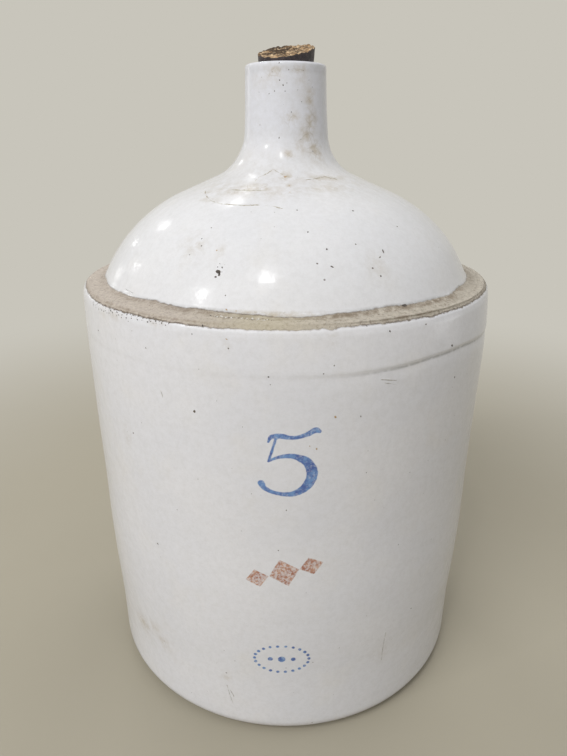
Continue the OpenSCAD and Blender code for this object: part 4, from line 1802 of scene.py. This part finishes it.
@dataclass
class Cork:
    """The broken cork in the mouth: a dark cone whose top is torn."""
    stone: Stonework
    length: float = 33.0
    taper: float = 2.2
    gap: float = 0.3
    break_z: float = 460.7
    rise_x: float = 4.4
    rise_y: float = 10.8
    face_w: float = 36.8
    top_z: float = 466.1
    lean: float = -0.7
    crumble: float = 0.35
    columns: int = 112
    rings: int = 34
    levels: int = 20
    foot_rings: int = 6
    # Scale and size of the waves in the torn face
    tears: Points = ((0.16, 0.9), (0.42, 0.9), (1.2, 0.5))

    def build(self, finish: bpy.types.Material) -> bpy.types.Object:
        """Builds the cork.

        Args:
            finish: The cork's material.

        Returns:
            The finished piece.
        """
        form = self.stone.form
        seat_r = form.bore_r - self.gap
        foot_z = form.jug_h - self.length
        slope = self.taper / (self.length - form.lip_round)
        angles = [math.tau * j / self.columns for j in range(self.columns)]
        turns = [(math.cos(a), math.sin(a)) for a in angles]
        foot_r = [(seat_r - self.taper) * (i + 1) / self.foot_rings for i in range(self.foot_rings)]
        verts = [(r * c, r * s, foot_z) for r in foot_r for c, s in turns]
        for i in range(1, self.levels + 2):
            at_top = i > self.levels
            for c, s in turns:
                top = self.break_height(seat_r * c, seat_r * s)
                z = top if at_top else foot_z + (top - self.crumble - foot_z) * i / self.levels
                pit = min(noise.noise(Vector((c * 5.0, s * 5.0, z * 0.22))) * self.crumble, 0.05)
                r = seat_r + slope * (z - form.jug_h + form.lip_round) + pit - self.crumble * at_top
                verts.append((r * c, r * s, z))
        face_r = [(seat_r - 0.1) * i / self.rings for i in range(self.rings - 1, 0, -1)]
        verts += [(r * c, r * s, self.break_height(r * c, r * s)) for r in face_r for c, s in turns]
        bottom = len(verts)
        verts += [(0.0, 0.0, foot_z), (0.0, 0.0, self.break_height(0.0, 0.0))]
        points = np.array(verts)
        points[:, 0] += self.lean * smooth(points[:, 2], foot_z, form.jug_h)
        x, y, _ = points.T
        char = np.maximum(bell(np.hypot(x + 5.0, y - 3.0) / 8.0), smooth(y - 0.4 * x, 10.0, 17.0))
        torn = np.arange(len(points)) >= self.columns * (self.foot_rings + self.levels)
        torn[bottom] = False
        mesh = new_mesh("cork", points, [], self.skin(bottom))
        mesh.materials.append(finish)
        store(mesh, torn=torn, char=char)
        tidy_shell(mesh, 55.0)
        return place_piece("old_cork", mesh, Body.CORK, ("cork",))

    def skin(self, bottom: int) -> list[tuple[int, ...]]:
        """Faces between the rings, closed at both ends.

        Args:
            bottom: Number of the bottom's middle point. The top's follows it.

        Returns:
            The faces.
        """
        n = self.columns
        pairs = [(j, (j + 1) % n) for j in range(n)]
        sides = [(i + j, i + k, i + n + k, i + n + j) for i in range(0, bottom - n, n) for j, k in pairs]
        last = bottom - n
        return ([(bottom, k, j) for j, k in pairs] + sides
                + [(last + j, last + k, bottom + 1) for j, k in pairs])

    def break_height(self, x: float, y: float) -> float:
        """Height of the torn face at a place.

        Args:
            x: Place to the right of the cork's axis.
            y: Place behind the cork's axis.

        Returns:
            The height above the table.
        """
        z = self.break_z + (self.rise_x * x + self.rise_y * y) / self.face_w
        for scale, amount in self.tears:
            z += noise.noise(Vector((x, y, 40.0 * scale)) * scale) * amount
        return min(z, self.top_z)


# Marks laid on the jug

@dataclass(frozen=True)
class Speck:
    """A located spot: its azimuth, its height (level) or radius (down), size and narrowness."""
    azimuth: float
    place: float
    size: float
    narrow: float = 0.8


def spots(*rows: tuple[float, ...]) -> list[Speck]:
    """Specks from rows of their sizes."""
    return [Speck(*row) for row in rows]


@dataclass
class GlazeMarks:
    """Located specks and beads, and thin lines, laid on the finished clay pieces."""
    pieces: list[bpy.types.Object]
    seed: int = 3
    line_seed: int = 5

    def __post_init__(self) -> None:
        """Gathers the surfaces that the marks are laid on."""
        self.surfaces = [BVHTree.FromPolygons([v.co.copy() for v in piece.data.vertices],
                                              [tuple(p.vertices) for p in piece.data.polygons])
                         for piece in self.pieces]

    def touch(self, azimuth: float, place: float, way: Way) -> tuple[Vector, Vector]:
        """Where a mark meets the jug.

        Args:
            azimuth: Direction round the jug in degrees.
            place: Height for a level mark, or radius for one laid straight down.
            way: How it is laid.

        Returns:
            The point in millimetres and the way the surface faces.
        """
        a = math.radians(azimuth)
        out = Vector((math.sin(a), -math.cos(a), 0.0))
        if way is Way.LEVEL:
            start, aim = out * 0.3 + Vector((0.0, 0.0, place * MM)), -out
        else:
            start, aim = out * place * MM + Vector((0.0, 0.0, 0.6)), Vector((0.0, 0.0, -1.0))
        hits = [surface.ray_cast(start, aim) for surface in self.surfaces]
        point, normal, _, _ = min((hit for hit in hits if hit[0] is not None), key=lambda hit: hit[3])
        return point / MM, normal if normal.dot(aim) < 0.0 else -normal

    def scatter(self, name: str, groups: list[tuple[Way, list[Speck]]], finish: bpy.types.Material) -> bpy.types.Object:
        """Lays specks as one piece.

        Args:
            name: The piece's name.
            groups: Specks by the way that they are laid.
            finish: Their material.

        Returns:
            The piece.
        """
        specks = [(way, speck) for way, group in groups for speck in group]
        points, facing = zip(*(self.touch(speck.azimuth, speck.place, way) for way, speck in specks))
        mesh = new_mesh(name + " points", points, [])
        layer = mesh.attributes.new("facing", "FLOAT_VECTOR", "POINT")
        layer.data.foreach_set("vector", np.array(facing).ravel())
        store(mesh, size=np.array([speck.size for _, speck in specks]) * MM,
              narrow=np.array([speck.narrow for _, speck in specks]))
        made = grown(name, mesh, marks_tree(), {"Thickness share": 0.10, "Unevenness": 0.5,
                                                 "Seed": self.seed, "Finish": finish})
        tidy_shell(made, 80.0)
        return place_piece(name, made, Body.JUG)

    def draw(self, name: str, lines: list[tuple[Way, Points]], radius: float, finish: bpy.types.Material,
             slot: Slot, wander: float = 0.8) -> bpy.types.Object:
        """Lays thin lines as one piece.

        Args:
            name: The piece's name.
            lines: For each line the way that it is laid and its (azimuth, place) points.
            radius: Half its width in millimetres.
            finish: Their material.
            slot: Not used.
            wander: How far they stray from their points.

        Returns:
            The piece.
        """
        verts, edges = [], []
        for way, keys in lines:
            path = np.array(keys)
            legs = np.arange(len(path))
            spread = np.linspace(0.0, legs[-1], 12 * legs[-1] + 1)
            edges += [(len(verts) + i, len(verts) + i + 1) for i in range(len(spread) - 1)]
            for a, b in zip(*(np.interp(spread, legs, path[:, i]) for i in (0, 1))):
                stray = noise.noise(Vector((a * 0.9, b * 0.9, 2.0))) * wander
                point, normal = self.touch(a + stray, b + stray, way)
                verts.append(point - normal * radius * 0.35)
        made = grown(name, new_mesh(name + " paths", verts, edges), hairline_tree(), {
            "Radius": radius * MM, "Gap": 1.2 * MM, "Seed": self.line_seed, "Finish": finish})
        tidy_shell(made, 80.0)
        return place_piece(name, made, Body.JUG)


def wave(i: int, pace: float) -> float:
    """A share from 0 to 1 that changes from one speck of a row to the next."""
    return abs(math.sin(i * pace))


# Rows of azimuth, height (on wall and neck) or radius (on the dome), size and, if not 0.8, narrowness
IRON_ON_WALL = spots(
    (-21.2, 257.1, 1.25, 0.9), (-33.7, 290.7, 0.9), (-54.3, 290.3, 0.9), (-4.0, 282.6, 0.7),
    (-12.6, 297.9, 0.6), (-18.6, 309.0, 0.9), (-20.9, 304.0, 0.7), (17.5, 309.0, 1.0, 0.4),
    (23.0, 304.9, 0.8), (33.2, 305.2, 0.8), (10.0, 288.6, 0.7), (7.7, 284.3, 0.7), (16.5, 256.0, 0.7),
    (42.3, 288.2, 1.4, 0.7), (44.9, 265.7, 0.8), (-0.1, 195.6, 0.7), (37.9, 90.1, 0.9), (-16.9, 53.0, 0.8))
SPECKLE_BAND = [
    Speck(-57.5 + 0.30 * i + 0.5 * math.sin(i * 7.3),
          308.7 - (3.4 if i < 62 else 2.0) * wave(i, 3.7) ** 2.2 - (0.5 if i < 16 else 0.0),
          0.25 + 0.50 * wave(i, 5.1) ** 3) for i in range(104)
] + spots((-46.4, 307.6, 1.3, 0.6), (-44.7, 306.2, 0.7, 0.5), (-39.2, 304.6, 0.5), (-34.0, 307.0, 0.6),
          (-29.6, 308.3, 0.7, 0.5))
SMALL_ON_WALL = spots(
    (-36.1, 149.0, 1.10, 0.6), (-35.3, 148.0, 0.60, 0.7), (-12.7, 222.5, 0.50), (-2.0, 165.4, 0.55),
    (-9.9, 250.9, 0.40), (-3.6, 278.0, 0.45), (-15.6, 265.9, 0.35), (-21.4, 211.2, 0.40),
    (18.8, 217.3, 0.45), (30.1, 154.9, 0.50), (31.5, 209.1, 0.40), (37.7, 212.7, 0.40),
    (47.4, 236.9, 0.45), (-44.0, 228.0, 0.50, 0.4))
OCHRE_ON_WALL = spots((10.6, 257.3, 1.1), (5.0, 239.2, 0.8), (6.6, 237.4, 0.9), (-13.0, 303.0, 0.9, 0.4))
IRON_ON_TOP = spots(
    (-19.1, 121.6, 2.3, 0.7), (-18.6, 122.6, 1.5, 0.6), (-18.2, 119.9, 0.9, 0.6), (-19.5, 123.6, 1.0),
    (-18.0, 121.6, 0.4), (-19.6, 119.8, 0.5), (-19.2, 118.4, 0.35), (-17.9, 118.6, 0.4),
    (-30.1, 115.7, 0.6), (-15.8, 129.3, 0.55), (-28.4, 107.3, 0.7), (-27.3, 111.0, 0.7),
    (-27.0, 100.4, 0.7), (6.8, 101.5, 0.8), (4.0, 85.1, 0.8), (11.8, 111.2, 0.9), (27.7, 87.2, 0.9),
    (21.5, 109.4, 0.8), (42.6, 101.6, 0.8), (30.0, 114.0, 1.9, 0.35), (28.0, 116.5, 1.2, 0.5),
    (8.3, 117.6, 0.8), (12.4, 119.1, 1.6, 0.4), (24.3, 120.7, 0.9), (26.1, 123.9, 0.9),
    (58.0, 117.3, 0.8), (30.9, 133.9, 2.8, 0.9))
SPECKS_AT_TOE = [
    Speck(-18.5 + 0.50 * i + 0.4 * math.sin(i * 5.7), 137.8 + 0.02 * i + 1.6 * wave(i, 2.9),
          0.40 + 0.40 * wave(i, 4.3) ** 2) for i in range(31)
] + [Speck(-50.5 + 0.7 * i, 132.4 + 1.5 * wave(i, 3.1), 0.30 + 0.25 * wave(i, 2.3)) for i in range(8)]
BEADS_AT_TOE = [
    Speck(-17.0 + 0.62 * i + 0.3 * math.sin(i * 3.3), 138.5 + 0.5 * math.sin(i * 2.1) + 0.03 * i,
          0.62 + 0.34 * wave(i, 1.9), 0.75) for i in range(21)
]
OCHRE_ON_TOP = spots(
    (-21.4, 112.6, 0.9), (-1.4, 46.7, 1.6, 0.8), (1.4, 57.6, 0.8), (1.7, 65.4, 0.7),
    (-15.0, 133.2, 1.0, 0.5), (-12.5, 133.4, 0.9, 0.5), (-9.5, 133.6, 1.0, 0.5))
IRON_ON_NECK = [Speck(a, z, 1.4 * size) for a, z, size in (
    (-10.1, 440.6, 0.42), (-5.4, 437.7, 0.45), (-16.8, 434.2, 0.35), (-2.9, 434.1, 0.35),
    (-24.5, 432.7, 0.35), (5.6, 421.7, 0.38), (-10.4, 406.0, 0.60), (33.1, 397.7, 0.42),
    (-56.6, 437.5, 0.35), (-11.0, 450.6, 0.45), (20.0, 428.0, 0.30), (-38.0, 414.0, 0.30),
    (14.0, 435.0, 0.28), (-40.0, 434.0, 0.26), (-36.0, 442.5, 0.22), (31.0, 441.0, 0.24),
    (37.0, 437.0, 0.26), (2.0, 446.6, 0.30), (9.0, 447.2, 0.26), (-20.0, 445.6, 0.24),
    (22.0, 446.4, 0.24), (27.0, 413.0, 0.22), (18.0, 405.0, 0.26), (-30.0, 422.0, 0.20),
    (-5.0, 426.0, 0.20))]
SCRATCHES = [(Way.LEVEL, keys) for keys in (
    ((-16.9, 41.0), (-16.2, 32.0), (-15.3, 24.0)), ((28.9, 80.0), (28.5, 66.0), (28.6, 53.0)),
    ((21.1, 277.4), (24.9, 275.3)), ((21.9, 275.0), (25.2, 272.6)), ((-30.1, 266.0), (-29.5, 262.0)),
    ((-16.2, 38.0), (-14.9, 31.0)))]
WRINKLES = [(Way.DOWN, keys) for keys in (
    ((-52.4, 68.6), (-45.0, 74.0), (-37.9, 78.6), (-30.6, 80.9), (-20.0, 81.5), (-10.5, 80.4)),
    ((-10.5, 80.4), (-5.0, 82.0), (-1.7, 84.1)),
    ((-34.0, 64.4), (-22.0, 64.0), (-7.9, 63.7)),
    ((-23.4, 52.9), (-23.0, 47.5), (-13.0, 40.4), (-3.2, 44.5)),
    ((14.2, 50.7), (24.0, 48.5), (31.8, 46.9), (40.2, 50.7)))]


# The room

@dataclass(frozen=True)
class Lamp:
    """A soft oval lamp aimed at the jug."""
    name: str
    azimuth: float
    elevation: float
    distance: float
    size: float
    power: float
    tall: float = 1.0
    mirrored: bool = True

    def build(self, aim: Vector) -> None:
        """Adds the lamp.

        Args:
            aim: Point that it faces, in metres.
        """
        a, e = math.radians(self.azimuth), math.radians(self.elevation)
        away = Vector((math.sin(a) * math.cos(e), -math.cos(a) * math.cos(e), math.sin(e)))
        data = bpy.data.lights.new(self.name, "AREA")
        data.shape = "ELLIPSE"
        data.size = self.size
        data.size_y = self.size * self.tall
        data.energy = self.power
        lamp = bpy.data.objects.new(self.name, data)
        lamp.visible_glossy = self.mirrored
        lamp.visible_camera = False
        bpy.context.scene.collection.objects.link(lamp)
        lamp.location = aim + away * self.distance
        lamp.rotation_euler = (-away).to_track_quat("-Z", "Y").to_euler()


@dataclass(frozen=True)
class Room:
    """Floor, background, lamps and camera."""
    floor: Colour = (0.385, 0.353, 0.278)
    floor_r: float = 8.0
    backdrop: Colour = (0.578, 0.558, 0.497)
    ambient: Colour = (1.0, 1.0, 1.0)
    ambient_strength: float = 0.375
    lamps: tuple[Lamp, ...] = (
        Lamp("key", -35.0, 34.0, 2.4, 1.6, 34.8, mirrored=False),
        Lamp("fill above right", 75.0, 72.0, 2.4, 1.4, 6.4, mirrored=False),
        Lamp("fill behind right", 152.0, 52.0, 2.4, 1.4, 12.2, mirrored=False),
        Lamp("fill behind left", -150.0, 25.0, 2.4, 1.4, 9.0, mirrored=False),
        Lamp("lamp A", -18.0, 57.0, 2.2, 0.12, 2.5, 1.7),
        Lamp("glow round A", -18.0, 57.0, 2.25, 0.44, 0.9, 1.5),
        Lamp("lamp B", -58.0, 36.8, 2.2, 0.12, 2.5, 1.8),
        Lamp("glow round B", -58.0, 36.8, 2.25, 0.34, 0.45, 1.5),
        Lamp("lamp C", -135.4, 31.2, 2.2, 0.11, 0.45),
        Lamp("lamp D", -116.4, 21.0, 2.2, 0.08, 0.32),
        Lamp("lamp E", -157.5, 49.0, 2.2, 0.31, 0.85, 0.36),
        Lamp("lamp F", -136.2, 16.5, 2.2, 0.08, 0.16),
        Lamp("lamp G", -128.0, 8.6, 2.2, 0.16, 0.26, 1.6),
        Lamp("sheen on the band", 90.0, -1.0, 2.0, 0.80, 1.1, 0.45),
    )
    lamp_aim: tuple[float, float, float] = (0.0, 0.0, 0.28)
    camera_place: tuple[float, float, float] = (-0.00236, -0.4583, 0.4040)
    camera_pitch: float = 21.55
    camera_roll: float = -0.1
    camera_lens: float = 28.57

    def build(self) -> None:
        """Builds the whole room."""
        self.build_camera()
        self.build_world()
        self.build_floor()
        for lamp in self.lamps:
            lamp.build(Vector(self.lamp_aim))

    def build_camera(self) -> None:
        """Adds the camera at the photograph's viewing angle."""
        data = bpy.data.cameras.new("camera")
        data.lens = self.camera_lens
        data.clip_start = 0.01
        data.clip_end = 50.0
        camera = bpy.data.objects.new("camera", data)
        bpy.context.scene.collection.objects.link(camera)
        camera.location = self.camera_place
        camera.rotation_euler = (math.radians(90.0 - self.camera_pitch), math.radians(self.camera_roll), 0.0)
        bpy.context.scene.camera = camera

    def build_world(self) -> None:
        """Lights the room evenly, and shows the plain backdrop to the camera."""
        world = bpy.data.worlds.new("room")
        bpy.context.scene.world = world
        world.use_nodes = True
        world.node_tree.nodes.clear()
        t = Tree(world.node_tree)
        light = t.add("ShaderNodeBackground", {"Color": self.ambient, "Strength": self.ambient_strength})
        shown = t.add("ShaderNodeBackground", {"Color": self.backdrop, "Strength": 1.0})
        t.mix_out("ShaderNodeOutputWorld", t.seen(), light, shown)

    def build_floor(self) -> None:
        """Adds the plain floor, which fades into the backdrop far from the jug."""
        mesh = bpy.data.meshes.new("floor")
        work = bmesh.new()
        bmesh.ops.create_circle(work, cap_ends=True, radius=self.floor_r, segments=64)
        work.to_mesh(mesh)
        work.free()
        material = bpy.data.materials.new("pale floor")
        material.use_nodes = True
        material.node_tree.nodes.clear()
        t = Tree(material.node_tree)
        place = t.object_place()
        tone = t.blend(t.times(t.grain(place, 6.0, 3.0), 0.10), self.floor, self.backdrop)
        cloth = t.add("ShaderNodeBsdfDiffuse", {"Color": tone})
        glow = t.add("ShaderNodeEmission", {"Color": self.backdrop, "Strength": 1.0})
        far = t.step(t.vector("LENGTH", place), 0.30, 1.10)
        t.mix_out("ShaderNodeOutputMaterial", t.times(far, t.seen()), cloth, glow)
        mesh.materials.append(material)
        floor = bpy.data.objects.new("floor", mesh)
        bpy.context.scene.collection.objects.link(floor)


def lay_marks(pieces: list[bpy.types.Object]) -> None:
    """Lays the specks, the beads, the wrinkles and the scratches.

    Args:
        pieces: The clay pieces that they lie on.
    """
    marks = GlazeMarks(pieces)
    iron = MarkFinish("iron speck", (0.040, 0.033, 0.030), (0.150, 0.120, 0.095)).build()
    ochre = MarkFinish("ochre speck", (0.370, 0.250, 0.130), (0.510, 0.380, 0.230)).build()
    bead = MarkFinish("glaze bead", (0.560, 0.530, 0.470), (0.740, 0.730, 0.710), 0.15).build()
    wrinkle = MarkFinish("glaze wrinkle", (0.330, 0.280, 0.200), (0.600, 0.570, 0.510), 0.2).build()
    scratch = MarkFinish("scratched glaze", (0.300, 0.280, 0.250), (0.520, 0.500, 0.470), 0.5).build()
    on_wall = IRON_ON_WALL + SPECKLE_BAND + SMALL_ON_WALL
    on_top = [(Way.DOWN, IRON_ON_TOP + SPECKS_AT_TOE), (Way.LEVEL, IRON_ON_NECK)]
    marks.scatter("iron_specks_crock", [(Way.LEVEL, on_wall)], iron)
    marks.scatter("ochre_specks_crock", [(Way.LEVEL, OCHRE_ON_WALL)], ochre)
    marks.scatter("iron_specks_top", on_top, iron)
    marks.scatter("ochre_specks_top", [(Way.DOWN, OCHRE_ON_TOP)], ochre)
    marks.scatter("glaze_beads", [(Way.DOWN, BEADS_AT_TOE)], bead)
    marks.draw("glaze_wrinkles", WRINKLES, 0.42, wrinkle, Slot.TOP)
    marks.draw("glaze_scratches", SCRATCHES, 0.26, scratch, Slot.BODY, 0.15)


def main() -> None:
    """Builds the room, the jug, the cork and the marks, in order."""
    logging.basicConfig(level=logging.INFO, format="%(message)s", stream=sys.stdout)
    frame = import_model()
    bpy.context.scene.view_settings.view_transform = "Standard"
    Room().build()
    body_glaze = GlazeFinish("white glaze of the crock").build()
    top_glaze = GlazeFinish("white glaze of the top", white=(0.742, 0.740, 0.752), cool=(0.690, 0.696, 0.722),
                            speck_share=0.28).build()
    stone = Stonework()
    clay = [Crock(stone).build(body_glaze), Dome(stone).build(top_glaze), Neck(stone).build(top_glaze)]
    Handle(stone).build(top_glaze)
    Cork(stone).build(CorkFinish().build())
    lay_marks(clay)
    slip = SlipFinish().build()
    for name in ("shoulder_slip", "neck_slip"):
        for place in frame["nodes"][name].material_slots:
            place.material = slip
        LOG.info("%s: carried over with its slip finish", name)


if __name__ == "__main__":
    main()
